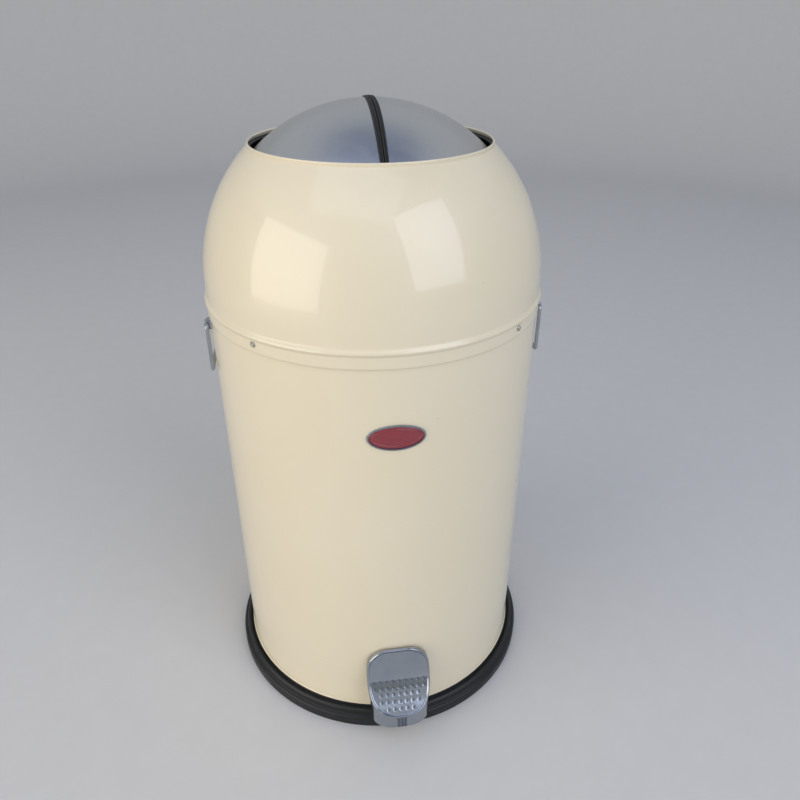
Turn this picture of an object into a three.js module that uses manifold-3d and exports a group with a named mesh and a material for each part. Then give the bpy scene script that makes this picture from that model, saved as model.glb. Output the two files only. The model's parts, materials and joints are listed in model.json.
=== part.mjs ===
// A round pedal bin: a steel body on a black base ring, a domed head with two lid leaves
// that swing apart when the pedal is pressed, and a loose inner bucket.
// Millimetres. The origin is on the bin's axis at floor level, +Z is up and the pedal faces -Y.

import * as THREE from "three";
import { mergeVertices } from "three/addons/utils/BufferGeometryUtils.js";
import Module from "manifold-3d";

const wasm = await Module();
wasm.setup();

// ---------------------------------------------------------------- driving dimensions

// Body and base
const bodyRadius = 176;
const bodyHeight = 458;
const bodyWall = 0.8;
const ringProud = 14; // how far the base ring stands out from the body
const ringHeight = 22.7; // ledge that the body stands on
const plateThickness = 2;

// Head
const headWall = 0.9;
const skirtClearance = 0.6; // between the body and the head's skirt
const skirtDrop = 2.7; // how far the skirt hangs below the body's top edge
const domeLift = 29.2; // from the body's top edge up to the dome's centre
const domeProud = 0.5; // dome radius over body radius
const beadHeight = 2.1;
const openingRadius = 118.6;
const rimRollRadius = 1.1;

// Lid leaves
const leafGap = 7.9; // between the dome's outside and the leaves' outside
const leafWall = 0.9;
const leafSpan = rad(52); // from the seam to the leaf's outer edge
const leafEndAngle = rad(68); // from the middle of the leaf to its front or rear end
const leafOpening = rad(56); // how far each leaf swings
const sealWidth = 4.6;
const sealProud = 1.7;
const sealDepth = 2.2;
const seamGap = 0.3; // half of the gap between the two seals

// Leaf pivots and cranks
const pinRadius = 3;
const pinClearance = 0.35;
const earThickness = 2;
const earGap = 1.2;
const hubRadius = 8;
const crankReach = 25; // from the pivot to the roller, across the bin
const crankHalfHeight = 4;
const rollerRadius = 5;
const rollerClearance = 0.6;
const springRoom = 6.5;

// Push rod and pedal
const rodRadius = 4;
const forkThickness = 5;
const forkGap = 3.5; // between the ends of the leaves and the fork
const pedalPivotY = -30;
const pedalPivotZ = 38;
const pivotPinRadius = 4;
const armThickness = 6;
const armHeight = 12;
const armRearTop = 32; // height of the arm's rear end, under the push rod
const armFrontZ = 54; // height of the arm's middle where it leaves the body
const padWall = 2;
const padDepth = 13;
const padHalfWidth = 36.4;
const padBottom = 35; // lower edge of the skirt round the pad's tip

// Bucket
const falseFloorTop = 62;
const bucketDrop = 11; // from the body's top edge down to the bucket's rim
const bucketTaper = 4; // how much narrower the bucket is at its foot
const bucketWall = 0.8;
const bucketClearance = 3.4; // between the bucket's rim and the rollers
const bailDown = 50; // from the bucket's rim down to the bail's pivots
const bailLeg = 40; // straight run of the bail beside each pivot
const bailWireRadius = 2.5;
const bailDrop = rad(10); // how far the bail hangs below level at rest
const gripRadius = 5;

// Side handles
const handleDown = 11; // from the body's top edge down to the handles' pivots
const handleDrop = 51;
const handleHalfWidth = 38;
const handleWireRadius = 2;
const handleStandOff = 1.2; // from the body to the middle of the handle's wire at its pivots

// Badge
const badgeDown = 75; // from the body's top edge down to the badge's middle
const badgeHalfWidth = 28.5;
const badgeHalfHeight = 14;
const badgeRimWidth = 2;

// Fits and fineness
const touchGap = 0.3; // between pieces that touch
const holeClearance = 0.5;
const roundSegments = 40;
const leafSegments = 56;
const leafSteps = 14;
const domeSteps = 8;

// ---------------------------------------------------------------- sizes worked out from them

const bodyBottom = ringHeight + touchGap;
const bodyTop = bodyBottom + bodyHeight;
const bodyInner = bodyRadius - bodyWall;
const ringRadius = bodyRadius + ringProud;
const domeZ = bodyTop + domeLift;
const domeRadius = bodyRadius + domeProud;
const domeInner = domeRadius - headWall;
const leafRadius = domeRadius - leafGap;
const leafInner = leafRadius - leafWall;
const leafEnd = leafRadius * Math.sin(leafEndAngle);
const crankAngle = leafOpening / 2; // the crank works evenly either side of level
const rodLift = 2 * crankReach * Math.tan(crankAngle);
const rodY = leafEnd + forkGap + forkThickness / 2;
const pedalTravel = Math.atan(rodLift / (rodY - pedalPivotY));

// The rear ears of the two leaves lie in two planes, one behind the other.
const outerEar = [leafEnd - earGap / 2 - earThickness, leafEnd - earGap / 2];
const innerEar = [outerEar[0] - earGap - earThickness, outerEar[0] - earGap];
const rollerDrop = (crankHalfHeight + rollerRadius + rollerClearance) / Math.cos(crankAngle);
const rollerZ = domeZ - crankReach * Math.tan(crankAngle) - rollerDrop;

const bucketRim = Math.hypot(crankReach, innerEar[0] - touchGap) - bucketClearance;
const bucketTop = bodyTop - bucketDrop;
const bucketFoot = falseFloorTop + touchGap;
const bucketRadius = bucketRim - 2.5;

// The bail swings up midway between the bucket's rim and the head of the front leaf pin.
const pinHeadRadius = pinRadius + 2;
const pinHeadEnd = innerEar[0] - earGap - 2;
const rimReach = Math.hypot(bucketRim, bailDown);
const pinReach = Math.hypot(pinHeadEnd, domeZ - pinHeadRadius - bucketTop + bailDown);
const bailLength = (rimReach + pinReach) / 2;

const handlePivotZ = bodyTop - handleDown;
const badgeZ = bodyTop - badgeDown;

// ---------------------------------------------------------------- small helpers

function rad(degrees) {
  return (degrees * Math.PI) / 180;
}

function toSolid(geometry) {
  const bare = geometry.index ? geometry.toNonIndexed() : geometry.clone();
  bare.deleteAttribute("normal");
  bare.deleteAttribute("uv");
  const merged = mergeVertices(bare, 1e-4);
  const mesh = new wasm.Mesh({
    numProp: 3,
    vertProperties: merged.attributes.position.array,
    triVerts: merged.index.array,
  });
  return new wasm.Manifold(mesh);
}

function toGeometry(solid) {
  const mesh = solid.getMesh();
  const geometry = new THREE.BufferGeometry();
  geometry.setAttribute("position", new THREE.BufferAttribute(mesh.vertProperties, 3));
  geometry.setIndex(new THREE.BufferAttribute(mesh.triVerts, 1));
  return geometry;
}

function cut(body, ...tools) {
  const left = tools.reduce((solid, tool) => solid.subtract(toSolid(tool)), toSolid(body));
  return toGeometry(left);
}

function join(first, ...others) {
  const whole = others.reduce((solid, other) => solid.add(toSolid(other)), toSolid(first));
  return toGeometry(whole);
}

function common(first, second) {
  return toGeometry(toSolid(first).intersect(toSolid(second)));
}

// Points on an arc from one angle to another, both ends included.
function arc(centreX, centreY, radius, from, to, steps) {
  const points = [];
  for (let i = 0; i <= steps; i += 1) {
    const angle = from + ((to - from) * i) / steps;
    points.push([centreX + radius * Math.cos(angle), centreY + radius * Math.sin(angle)]);
  }
  return points;
}

function signedArea(points) {
  return points.reduce((sum, [x, y], i) => {
    const [nextX, nextY] = points[(i + 1) % points.length];
    return sum + (x * nextY - nextX * y) / 2;
  }, 0);
}

// A turned piece about Y from a closed outline of [radius, height] points.
function turnedAboutY(outline, segments) {
  const ordered = signedArea(outline) > 0 ? outline : [...outline].reverse();
  const points = [...ordered, ordered[0]].map(([r, h]) => new THREE.Vector2(r, h));
  return new THREE.LatheGeometry(points, segments);
}

// A turned piece about Z from a closed outline of [radius, height] points off the axis.
function turned(outline, segments = roundSegments) {
  return turnedAboutY(outline, segments).rotateX(Math.PI / 2);
}

function disc(radius, bottom, top, segments = roundSegments) {
  const height = top - bottom;
  const geometry = new THREE.CylinderGeometry(radius, radius, height, segments);
  return geometry.rotateX(Math.PI / 2).translate(0, 0, bottom + height / 2);
}

// A round bar between two points.
function bar(radius, start, end, sides = 12) {
  const from = new THREE.Vector3(...start);
  const along = new THREE.Vector3(...end).sub(from);
  const geometry = new THREE.CylinderGeometry(radius, radius, along.length(), sides);
  const turn = new THREE.Quaternion().setFromUnitVectors(
    new THREE.Vector3(0, 1, 0),
    along.clone().normalize(),
  );
  return geometry.applyQuaternion(turn).translate(...from.addScaledVector(along, 0.5).toArray());
}

function box([x0, x1], [y0, y1], [z0, z1]) {
  const geometry = new THREE.BoxGeometry(x1 - x0, y1 - y0, z1 - z0);
  return geometry.translate((x0 + x1) / 2, (y0 + y1) / 2, (z0 + z1) / 2);
}

function shapeOf(outline) {
  return new THREE.Shape(outline.map(([x, y]) => new THREE.Vector2(x, y)));
}

function extruded(outline, depth) {
  return new THREE.ExtrudeGeometry(shapeOf(outline), { depth, bevelEnabled: false });
}

// An outline of [y, z] points, pushed from x0 to x1.
function extrudedX(outline, [x0, x1]) {
  const toX = new THREE.Matrix4().makeBasis(
    new THREE.Vector3(0, 1, 0),
    new THREE.Vector3(0, 0, 1),
    new THREE.Vector3(1, 0, 0),
  );
  return extruded(outline, x1 - x0).applyMatrix4(toX).translate(x0, 0, 0);
}

// An outline of [x, z] points, pushed from y0 to y1.
function extrudedY(outline, [y0, y1]) {
  return extruded(outline, y1 - y0)
    .rotateX(Math.PI / 2)
    .translate(0, y1, 0);
}

// A round wire, or a tube where a bore is given, along a curve.
function wire(curve, radius, steps, sides = 8, bore = 0) {
  const shape = shapeOf(arc(0, 0, radius, 0, 2 * Math.PI * (1 - 1 / sides), sides - 1));
  if (bore > 0) {
    const hole = arc(0, 0, bore, 0, 2 * Math.PI * (1 - 1 / sides), sides - 1);
    shape.holes.push(new THREE.Path(hole.map(([x, y]) => new THREE.Vector2(x, y))));
  }
  return new THREE.ExtrudeGeometry(shape, { steps, bevelEnabled: false, extrudePath: curve });
}

// A path of straight runs whose corners are rounded.
function roundedPath(corners, radius) {
  const points = corners.map((corner) => new THREE.Vector3(...corner));
  const path = new THREE.CurvePath();
  let start = points[0];
  for (let i = 1; i < points.length - 1; i += 1) {
    const before = points[i].clone().sub(points[i - 1]).setLength(radius);
    const after = points[i + 1].clone().sub(points[i]).setLength(radius);
    const bendStart = points[i].clone().sub(before);
    const bendEnd = points[i].clone().add(after);
    path.add(new THREE.LineCurve3(start, bendStart));
    path.add(new THREE.QuadraticBezierCurve3(bendStart, points[i], bendEnd));
    start = bendEnd;
  }
  path.add(new THREE.LineCurve3(start, points[points.length - 1]));
  return path;
}

class Helix extends THREE.Curve {
  constructor(radius, bottom, top, turns) {
    super();
    Object.assign(this, { radius, bottom, top, turns });
  }

  getPoint(t, target = new THREE.Vector3()) {
    const angle = 2 * Math.PI * this.turns * t;
    const height = this.bottom + (this.top - this.bottom) * t;
    return target.set(this.radius * Math.cos(angle), this.radius * Math.sin(angle), height);
  }
}

// ---------------------------------------------------------------- finishes

function finish(color, roughness, metalness) {
  return () => new THREE.MeshStandardMaterial({ color, roughness, metalness });
}

const creamEnamel = finish(0xe9dfc4, 0.28, 0);
const blackPlastic = finish(0x2a2d2d, 0.55, 0);
const satinSteel = finish(0xa6aaab, 0.35, 1);
const blackRubber = finish(0x1c1c1d, 0.75, 0);
const chrome = finish(0xc9ccd0, 0.12, 1);
const redEnamel = finish(0x7e1f26, 0.25, 0);
const galvanised = finish(0xa9adb0, 0.5, 0.9);
const zincPlate = finish(0xb9b7ad, 0.4, 0.9);
const nylon = finish(0xdad8cf, 0.5, 0);

function piece(name, material, geometry) {
  const mesh = new THREE.Mesh(geometry, material());
  mesh.name = name;
  return mesh;
}

function groupAt([x, y, z], ...pieces) {
  const group = new THREE.Group();
  group.position.set(x, y, z);
  group.add(...pieces);
  return group;
}

// ---------------------------------------------------------------- base and body

// The moulded ring that the bin stands on: a ledge for the body's edge, a dark groove
// round it, a raised shoulder and a lower outer step.
function baseRing() {
  const locatorTop = ringHeight + 3.8;
  const groove = bodyRadius + 2.2;
  return turned([
    [bodyInner - 9, 0],
    [ringRadius - 1.5, 0],
    [ringRadius, 1.5],
    [ringRadius, 11],
    [ringRadius - 1.4, 13.4],
    [ringRadius - 4.6, 14.6],
    [groove + 6.4, 19.6],
    [groove + 4.4, 21.8],
    [groove + 2.2, 21.8],
    [groove + 1.3, 20],
    [groove, 20],
    [groove - 0.6, ringHeight],
    [bodyInner - 0.6, ringHeight],
    [bodyInner - 0.6, locatorTop],
    [bodyInner - 3, locatorTop],
    [bodyInner - 3, 8],
    [bodyInner - 9, 8],
  ]);
}

function bodyShell() {
  const tube = turned([
    [bodyInner, bodyBottom],
    [bodyRadius, bodyBottom],
    [bodyRadius, bodyTop],
    [bodyInner, bodyTop],
  ]);
  const drop = (bodyRadius + pedalPivotY) * Math.tan(pedalTravel);
  const slot = box(
    [-armThickness / 2 - 3, armThickness / 2 + 3],
    [-bodyRadius - 5, -bodyRadius + 5],
    [armFrontZ - armHeight / 2 - drop - 2, armFrontZ + armHeight / 2 + 2],
  );
  return cut(tube, slot);
}

const postPlaces = [
  [110, 90],
  [-110, 90],
  [-110, -90],
  [110, -90],
];
const floorThickness = 1.5;
const plateRadius = bodyInner - 9 - touchGap;

function floorPost([x, y]) {
  const bottom = plateThickness + touchGap;
  const top = falseFloorTop - floorThickness - touchGap;
  return disc(6, bottom, top, 12).translate(x, y, 0);
}

function falseFloor() {
  const plate = disc(bodyInner - 1.5, falseFloorTop - floorThickness, falseFloorTop);
  const rodHole = disc(rodRadius + 1.5, falseFloorTop - 9, falseFloorTop + 9, 16);
  return cut(plate, rodHole.translate(0, rodY, 0));
}

// An angle bracket beside the pedal arm, drilled for the pivot pin.
function pivotBracket(side) {
  const inner = armThickness / 2 + 0.8;
  const foot = plateThickness + touchGap;
  const upright = extrudedX(
    [
      [pedalPivotY - 15, foot],
      [pedalPivotY + 15, foot],
      [pedalPivotY + 9, pedalPivotZ + 9],
      [pedalPivotY - 9, pedalPivotZ + 9],
    ],
    [inner, inner + 3],
  );
  const base = box([inner, inner + 18], [pedalPivotY - 15, pedalPivotY + 15], [foot, foot + 3]);
  const bore = bar(
    pivotPinRadius + touchGap,
    [inner - 5, pedalPivotY, pedalPivotZ],
    [inner + 8, pedalPivotY, pedalPivotZ],
    16,
  );
  const bracket = cut(join(upright, base), bore);
  return side < 0 ? bracket.rotateZ(Math.PI).translate(0, 2 * pedalPivotY, 0) : bracket;
}

function pedalPivotPin() {
  const half = armThickness / 2 + 8;
  const at = (x) => [x, pedalPivotY, pedalPivotZ];
  return bar(pivotPinRadius, at(-half), at(half), 16);
}

// A shelf on the rear wall with a hole that the push rod runs in.
function rodGuide(z) {
  const shelf = box([-14, 14], [rodY - rodRadius - 4, bodyRadius + 5], [z - 2, z + 2]);
  const inside = disc(bodyInner - touchGap, z - 9, z + 9);
  const hole = disc(rodRadius + holeClearance, z - 9, z + 9, 16).translate(0, rodY, 0);
  return cut(common(shelf, inside), hole);
}

const springRadius = 8;
const springY = pedalPivotY - 78;

function armBottomAt(y) {
  const bendY = pedalPivotY - 92;
  const share = (y - bendY) / (pedalPivotY - bendY);
  const frontBottom = armFrontZ - armHeight / 2;
  return frontBottom + share * (pedalPivotZ - 8 - frontBottom);
}

// The coil under the arm that brings the pedal back up.
function pedalSpring() {
  const wireRadius = 1;
  const bottom = plateThickness + touchGap + wireRadius + 0.2;
  const top = armBottomAt(springY + springRadius + wireRadius) - wireRadius - touchGap;
  const coil = new Helix(springRadius, bottom, top, 5);
  return wire(coil, wireRadius, 50, 6).translate(0, springY, 0);
}

// ---------------------------------------------------------------- badge and handle brackets

function oval(halfWidth, halfHeight, centreZ, sides = 28) {
  const points = [];
  for (let i = 0; i < sides; i += 1) {
    const angle = (2 * Math.PI * i) / sides;
    points.push([halfWidth * Math.cos(angle), centreZ + halfHeight * Math.sin(angle)]);
  }
  return points;
}

// A plate curved to the body, standing from inner to outer above the wall.
function curvedPlate(outline, inner, outer) {
  const bottom = badgeZ - 2 * badgeHalfHeight;
  const top = badgeZ + 2 * badgeHalfHeight;
  const wallRing = turned([
    [bodyRadius + inner, bottom],
    [bodyRadius + outer, bottom],
    [bodyRadius + outer, top],
    [bodyRadius + inner, top],
  ]);
  return common(wallRing, extrudedY(outline, [-bodyRadius - 20, 0]));
}

function badgeRim() {
  const whole = curvedPlate(oval(badgeHalfWidth, badgeHalfHeight, badgeZ), touchGap, 2);
  const window = oval(badgeHalfWidth - badgeRimWidth, badgeHalfHeight - badgeRimWidth, badgeZ);
  return cut(whole, extrudedY(window, [-bodyRadius - 20, 0]));
}

function badgeFace() {
  const inset = badgeRimWidth + touchGap;
  const face = oval(badgeHalfWidth - inset, badgeHalfHeight - inset, badgeZ);
  return curvedPlate(face, touchGap, 1.5);
}

const handleX = bodyRadius + handleStandOff;
const handleBend = 2 * handleWireRadius;
const bracketOuter = handleHalfWidth - handleBend - 0.4;
const bracketInner = bracketOuter - 7.6;

// A small lug on the side wall, bored along Y for the end of the handle's wire.
function handleBracket(side, end) {
  const lug = box(
    [bodyRadius - 8, handleX + 3.6],
    [bracketInner, bracketOuter],
    [handlePivotZ - 6, handlePivotZ + 5],
  );
  const wall = disc(bodyRadius + touchGap, handlePivotZ - 20, handlePivotZ + 20);
  const bore = bar(
    handleWireRadius + holeClearance,
    [handleX, 0, handlePivotZ],
    [handleX, handleHalfWidth, handlePivotZ],
  );
  const bracket = cut(lug, wall, bore);
  if (side * end < 0) bracket.scale(1, -1, 1);
  if (side * end < 0) flipFaces(bracket);
  return side < 0 ? bracket.rotateZ(Math.PI) : bracket;
}

// Puts the faces of a mirrored geometry the right way round again.
function flipFaces(geometry) {
  const index = geometry.index.array;
  for (let i = 0; i < index.length; i += 3) {
    [index[i + 1], index[i + 2]] = [index[i + 2], index[i + 1]];
  }
}

// ---------------------------------------------------------------- pedal, about its pivot

// The flat steel lever: its front end carries a saddle under the pad's face, its rear end
// is under the push rod.
function pedalArm() {
  const [upper, middle, lower] = pushedBack(padFace(), padWall + 1.5).slice(3, 6);
  const bendY = pedalPivotY - 92;
  const rearY = rodY + 6;
  const half = armHeight / 2;
  const lever = extrudedX(
    [
      [lower[0], armFrontZ - half],
      [bendY, armFrontZ - half],
      [pedalPivotY, pedalPivotZ - 8],
      [rearY, armRearTop - armHeight],
      [rearY, armRearTop],
      [pedalPivotY, pedalPivotZ + 8],
      [bendY + 4, armFrontZ + half],
      [upper[0] + 9, armFrontZ + half],
      upper,
      middle,
      lower,
    ],
    [-armThickness / 2, armThickness / 2],
  );
  const saddleTop = pushedBack(padFace(), padWall + touchGap).slice(3, 6);
  const saddleUnder = pushedBack(padFace(), padWall + touchGap + 3).slice(3, 6);
  const saddle = extrudedX([...saddleTop, ...saddleUnder.reverse()], [-16, 16]);
  const bore = bar(
    pivotPinRadius + holeClearance,
    [-armThickness, pedalPivotY, pedalPivotZ],
    [armThickness, pedalPivotY, pedalPivotZ],
    16,
  );
  return cut(join(lever, saddle), bore).translate(0, -pedalPivotY, -pedalPivotZ);
}

// The pad's face in side view, from its top edge at the wall down to the tip.
function padFace() {
  const y = (proud) => -bodyRadius - proud;
  return [
    [y(5), 122],
    [y(7), 106],
    [y(11.5), 86],
    [y(18), 74.5],
    [y(27), 65.5],
    [y(36), 58.5],
    [y(42), 53.5],
    [y(43.5), 50],
    [y(43.5), padBottom],
  ];
}

// The other half of an outline that is the same on both sides of the bin's middle.
function bothSides(right) {
  return [...right, ...[...right].reverse().map(([x, s]) => [-x, s])];
}

// The pad's outline across the bin, looking square at its face: s runs down from the top.
function padOutline(inset) {
  const half = [
    [15, 0],
    [22, 2.5],
    [28, 6.5],
    [33, 12],
    [35.5, 20],
    [padHalfWidth, 32],
    [padHalfWidth, 110],
  ];
  return bothSides(half.map(([x, s]) => [x - inset, s]));
}

// The pad's rounded tip in plan, as half widths at distances in front of the body.
function padNose(inset) {
  const half = [
    [padHalfWidth, -20],
    [padHalfWidth, 12],
    [36, 18],
    [34.6, 24],
    [32.4, 29],
    [28.8, 34],
    [23, 38.5],
    [15, 41.8],
    [6, 43.5],
  ];
  const inside = half.map(([x, proud]) => [
    x * (1 - inset / padHalfWidth),
    -bodyRadius - proud + (proud > 30 ? inset : 0),
  ]);
  return extruded(bothSides(inside), 120).translate(0, 0, 20);
}

// The same face pushed back under the surface by a depth.
function pushedBack(points, depth) {
  return points.map(([y, z], i) => {
    const [y0, z0] = points[Math.max(i - 1, 0)];
    const [y1, z1] = points[Math.min(i + 1, points.length - 1)];
    const length = Math.hypot(y1 - y0, z1 - z0);
    return [y - (depth * (z1 - z0)) / length, z + (depth * (y1 - y0)) / length];
  });
}

// A solid that fills the pad's outline, seen square to the line from its top to its tip.
function padPrism(inset) {
  const [top, tip] = [padFace()[0], padFace()[6]];
  const tilt = Math.atan2(top[1] - tip[1], top[0] - tip[0]);
  const outline = padOutline(inset).map(([x, s]) => [x, -s]);
  const prism = extruded(outline, 160)
    .translate(0, 0, -80)
    .rotateX(tilt)
    .translate(0, top[0], top[1]);
  return common(prism, padNose(inset));
}

// The dished foot pad, a pressed shell that is open at the back.
function pedalPad() {
  const face = padFace();
  const back = pushedBack(face.slice(0, 6), padDepth).reverse();
  const block = extrudedX([...face, [-bodyRadius - 30, padBottom], ...back], [-50, 50]);
  const hollowFace = pushedBack(face, padWall);
  const last = hollowFace.length - 1;
  hollowFace[last] = [hollowFace[last][0], 30];
  const behind = -bodyRadius + 30;
  const hollow = extrudedX([...hollowFace, [behind, 30], [behind, 119]], [-50, 50]);
  const outer = common(block, padPrism(0));
  const inner = common(hollow, padPrism(padWall));
  const wallRoom = disc(bodyRadius + 1.6, 20, 140);
  return cut(outer, inner, wallRoom).translate(0, -pedalPivotY, -pedalPivotZ);
}

// ---------------------------------------------------------------- push rod, about its axis

const forkBarBottom = rollerZ - 46;
const forkBarTop = forkBarBottom + 11;

function pushRod() {
  return disc(rodRadius, armRearTop + touchGap + 0.6, forkBarBottom - touchGap, 12);
}

// A U of plate on top of the rod, with a fixed pin at the top of each prong.
function rodFork() {
  const inner = crankReach - 5;
  const outer = crankReach + 5;
  const tip = rollerZ + 5;
  const plate = extrudedY(
    [
      [-outer, forkBarBottom],
      [outer, forkBarBottom],
      [outer, tip],
      [inner, tip],
      [inner, forkBarTop],
      [-inner, forkBarTop],
      [-inner, tip],
      [-outer, tip],
    ],
    [-forkThickness / 2, forkThickness / 2],
  );
  const pin = (x, ear) => bar(2, [x, 0, rollerZ], [x, ear[0] - touchGap - rodY, rollerZ]);
  return join(plate, pin(crankReach, innerEar), pin(-crankReach, outerEar));
}

function roller(x, ear) {
  const ends = [ear[0] - touchGap - rodY, ear[1] + touchGap - rodY];
  const body = bar(rollerRadius, [x, ends[0], rollerZ], [x, ends[1], rollerZ], 16);
  const bore = bar(2 + pinClearance, [x, ends[0] - 3, rollerZ], [x, ends[1] + 3, rollerZ], 12);
  return cut(body, bore);
}

// ---------------------------------------------------------------- bucket, about its foot

const bucketHeight = bucketTop - bucketFoot;
const bucketFootRadius = bucketRadius - bucketTaper;
const bailZ = bucketHeight - bailDown; // above the foot
const earHalfHeight = 12;
const earTopShare = (bailZ + earHalfHeight) / (bucketHeight - 6);
const earWall = bucketFootRadius + bucketTaper * earTopShare + touchGap;
const earFace = earWall + 4;

function bucketShell() {
  const base = 4;
  return turned([
    [0.001, base],
    [bucketFootRadius - 3, base],
    [bucketFootRadius - 3, 0],
    [bucketFootRadius, 0],
    [bucketRadius, bucketHeight - 6],
    [bucketRim - 0.4, bucketHeight - 5.2],
    [bucketRim, bucketHeight - 3],
    [bucketRim - 1, bucketHeight - 0.6],
    [bucketRim - 2.6, bucketHeight],
    [bucketRadius - bucketWall, bucketHeight - 2],
    [bucketFootRadius - bucketWall, base + 1.6],
    [0.001, base + 1.2],
  ]);
}

// A folded lug under the rim that the bail's end hooks through.
function bucketEar(side) {
  const lug = extruded(
    [
      [earWall, -13],
      [earFace, -13],
      [earFace, 13],
      [earWall, 13],
      [earWall, 9],
      [earFace - 2, 9],
      [earFace - 2, -9],
      [earWall, -9],
    ],
    2 * earHalfHeight,
  ).translate(0, 0, bailZ - earHalfHeight);
  const ends = [earWall - 5, earFace + 5];
  const bore = bar(bailWireRadius + holeClearance, [ends[0], 0, bailZ], [ends[1], 0, bailZ]);
  const ear = cut(lug, bore);
  return side < 0 ? ear.rotateZ(Math.PI) : ear;
}

const bailHalfSpan = earFace + bailWireRadius + 1;
const legShare = 0.1;

// The bail's wire lies forward of its pivots, hanging a little below level: a straight leg
// at each side, and half an oval between them.
class BailCurve extends THREE.Curve {
  getPoint(t, target = new THREE.Vector3()) {
    const share = (t - legShare) / (1 - 2 * legShare);
    const angle = Math.PI * Math.min(Math.max(share, 0), 1);
    const leg = (bailLeg * Math.min(t, 1 - t, legShare)) / legShare;
    const reach = leg + (bailLength - bailLeg) * Math.sin(angle);
    const x = bailHalfSpan * Math.cos(angle);
    return target.set(x, -reach * Math.cos(bailDrop), -reach * Math.sin(bailDrop));
  }
}

function bucketBail() {
  const loop = wire(new BailCurve(), bailWireRadius, 40);
  const inner = earWall + 1.2;
  const hook = (side) => bar(bailWireRadius, [side * inner, 0, 0], [side * bailHalfSpan, 0, 0], 8);
  return join(loop, hook(1), hook(-1));
}

class GripCurve extends THREE.Curve {
  getPoint(t, target = new THREE.Vector3()) {
    return new BailCurve().getPoint(0.5 + (t - 0.5) * 0.16, target);
  }
}

function bailGrip() {
  return wire(new GripCurve(), gripRadius, 8, 10, bailWireRadius + 0.6);
}

// ---------------------------------------------------------------- head, about the dome's centre

const skirtOuter = bodyRadius + skirtClearance + headWall;
const skirtBottom = bodyTop - skirtDrop - domeZ;
const beadZ = skirtBottom + 15.7;
const screwZ = skirtBottom + 8.6;
const screwShank = 1.5;
const screwHead = 2.9;
const screwTurns = [45, 135, 225, 315].map(rad);

function screwHole(angle) {
  const reach = skirtOuter + 10;
  const hole = bar(screwShank + holeClearance, [bodyInner - 15, 0, screwZ], [reach, 0, screwZ], 10);
  return hole.rotateZ(angle);
}

const rimR = openingRadius + rimRollRadius;
const rimZ = Math.sqrt((domeRadius + 1.3) ** 2 - rimR ** 2);
const endAngle = Math.acos((rimR + 0.8) / domeRadius);

// The domed shell: skirt, bead, a part of a sphere and a rolled rim at the opening.
function headShell() {
  const outerDome = arc(0, 0, domeRadius, 0, endAngle, domeSteps);
  const innerDome = arc(0, 0, domeInner, endAngle, 0, domeSteps);
  const roll = arc(rimR, rimZ, rimRollRadius, rad(-20), rad(205), 5);
  const band = (offset) => [
    [skirtOuter - offset, skirtBottom],
    [skirtOuter - offset, beadZ - 4],
    [skirtOuter + beadHeight - offset, beadZ],
    [domeRadius - offset, beadZ + 5.5],
  ];
  const outline = [...band(0), ...outerDome, ...roll, ...innerDome, ...band(headWall).reverse()];
  const shell = turned(outline);
  return cut(shell, ...screwTurns.map(screwHole));
}

// The ring inside the skirt: it rests on the body's top edge and centres the head in it.
function headCollar() {
  const seat = bodyTop + touchGap - domeZ;
  const top = beadZ - 3;
  const ring = turned([
    [bodyInner - 2.3, seat - 16],
    [bodyInner - 0.8, seat - 16],
    [bodyInner - 0.8, seat],
    [skirtOuter - headWall - touchGap, seat],
    [skirtOuter - headWall - touchGap, top],
    [bodyInner - 2.3, top],
  ]);
  return cut(ring, ...screwTurns.map(screwHole));
}

// The black trim under the rim of the opening.
function rimLiner() {
  const outside = domeInner - 0.5;
  const inside = outside - 2.4;
  const steps = 3;
  return turned([
    ...arc(0, 0, outside, endAngle - rad(8), endAngle, steps),
    ...arc(0, 0, inside, endAngle, endAngle - rad(8), steps),
  ]);
}

// A pan-head screw through the skirt into the collar.
function bandScrew(angle) {
  const shank = bar(screwShank, [bodyInner - 2, 0, screwZ], [skirtOuter + 1, 0, screwZ], 10);
  const head = new THREE.CylinderGeometry(0.6 * screwHead, screwHead, 1.8, 12)
    .rotateZ(-Math.PI / 2)
    .translate(skirtOuter + touchGap + 0.9, 0, screwZ);
  return join(head, shank).rotateZ(angle);
}

const flangeHalfWidth = 15;
const flangeHalfHeight = 12;
const domeFacets = Math.cos(Math.PI / roundSegments) * Math.cos(endAngle / domeSteps / 2);
const flangeOuter = Math.sqrt(
  ((domeInner - touchGap) * domeFacets) ** 2 - flangeHalfWidth ** 2 - flangeHalfHeight ** 2,
);
const flangeInner = flangeOuter - 2;
const bossEnd = leafEnd + springRoom;

// A flanged boss on the inside of the head that holds a pivot pin.
function leafBracket(side) {
  const flange = box(
    [-flangeHalfWidth, flangeHalfWidth],
    [flangeInner, flangeOuter],
    [-flangeHalfHeight, flangeHalfHeight],
  );
  const boss = bar(7, [0, bossEnd, 0], [0, flangeInner + 1, 0], 16);
  const bore = bar(pinRadius + pinClearance, [0, bossEnd - 5, 0], [0, flangeOuter - 1, 0], 16);
  const bracket = cut(join(flange, boss), bore);
  return side < 0 ? bracket.rotateZ(Math.PI) : bracket;
}

function leafPin(side) {
  const headOuter = innerEar[0] - earGap;
  const shaft = bar(pinRadius, [0, headOuter - 0.5, 0], [0, flangeInner, 0], 16);
  const head = bar(pinHeadRadius, [0, pinHeadEnd, 0], [0, headOuter, 0], 16);
  const pin = join(shaft, head);
  return side < 0 ? pin.rotateZ(Math.PI) : pin;
}

// The coil on the front pin that swings both leaves shut.
function leafClosingSpring() {
  const wireRadius = 0.8;
  const room = [leafEnd + 0.8 + wireRadius, bossEnd - 0.5 - wireRadius];
  const coil = new Helix(pinRadius + 1 + wireRadius, room[0], room[1], 2.5);
  return wire(coil, wireRadius, 30, 6).rotateX(Math.PI / 2);
}

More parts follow.
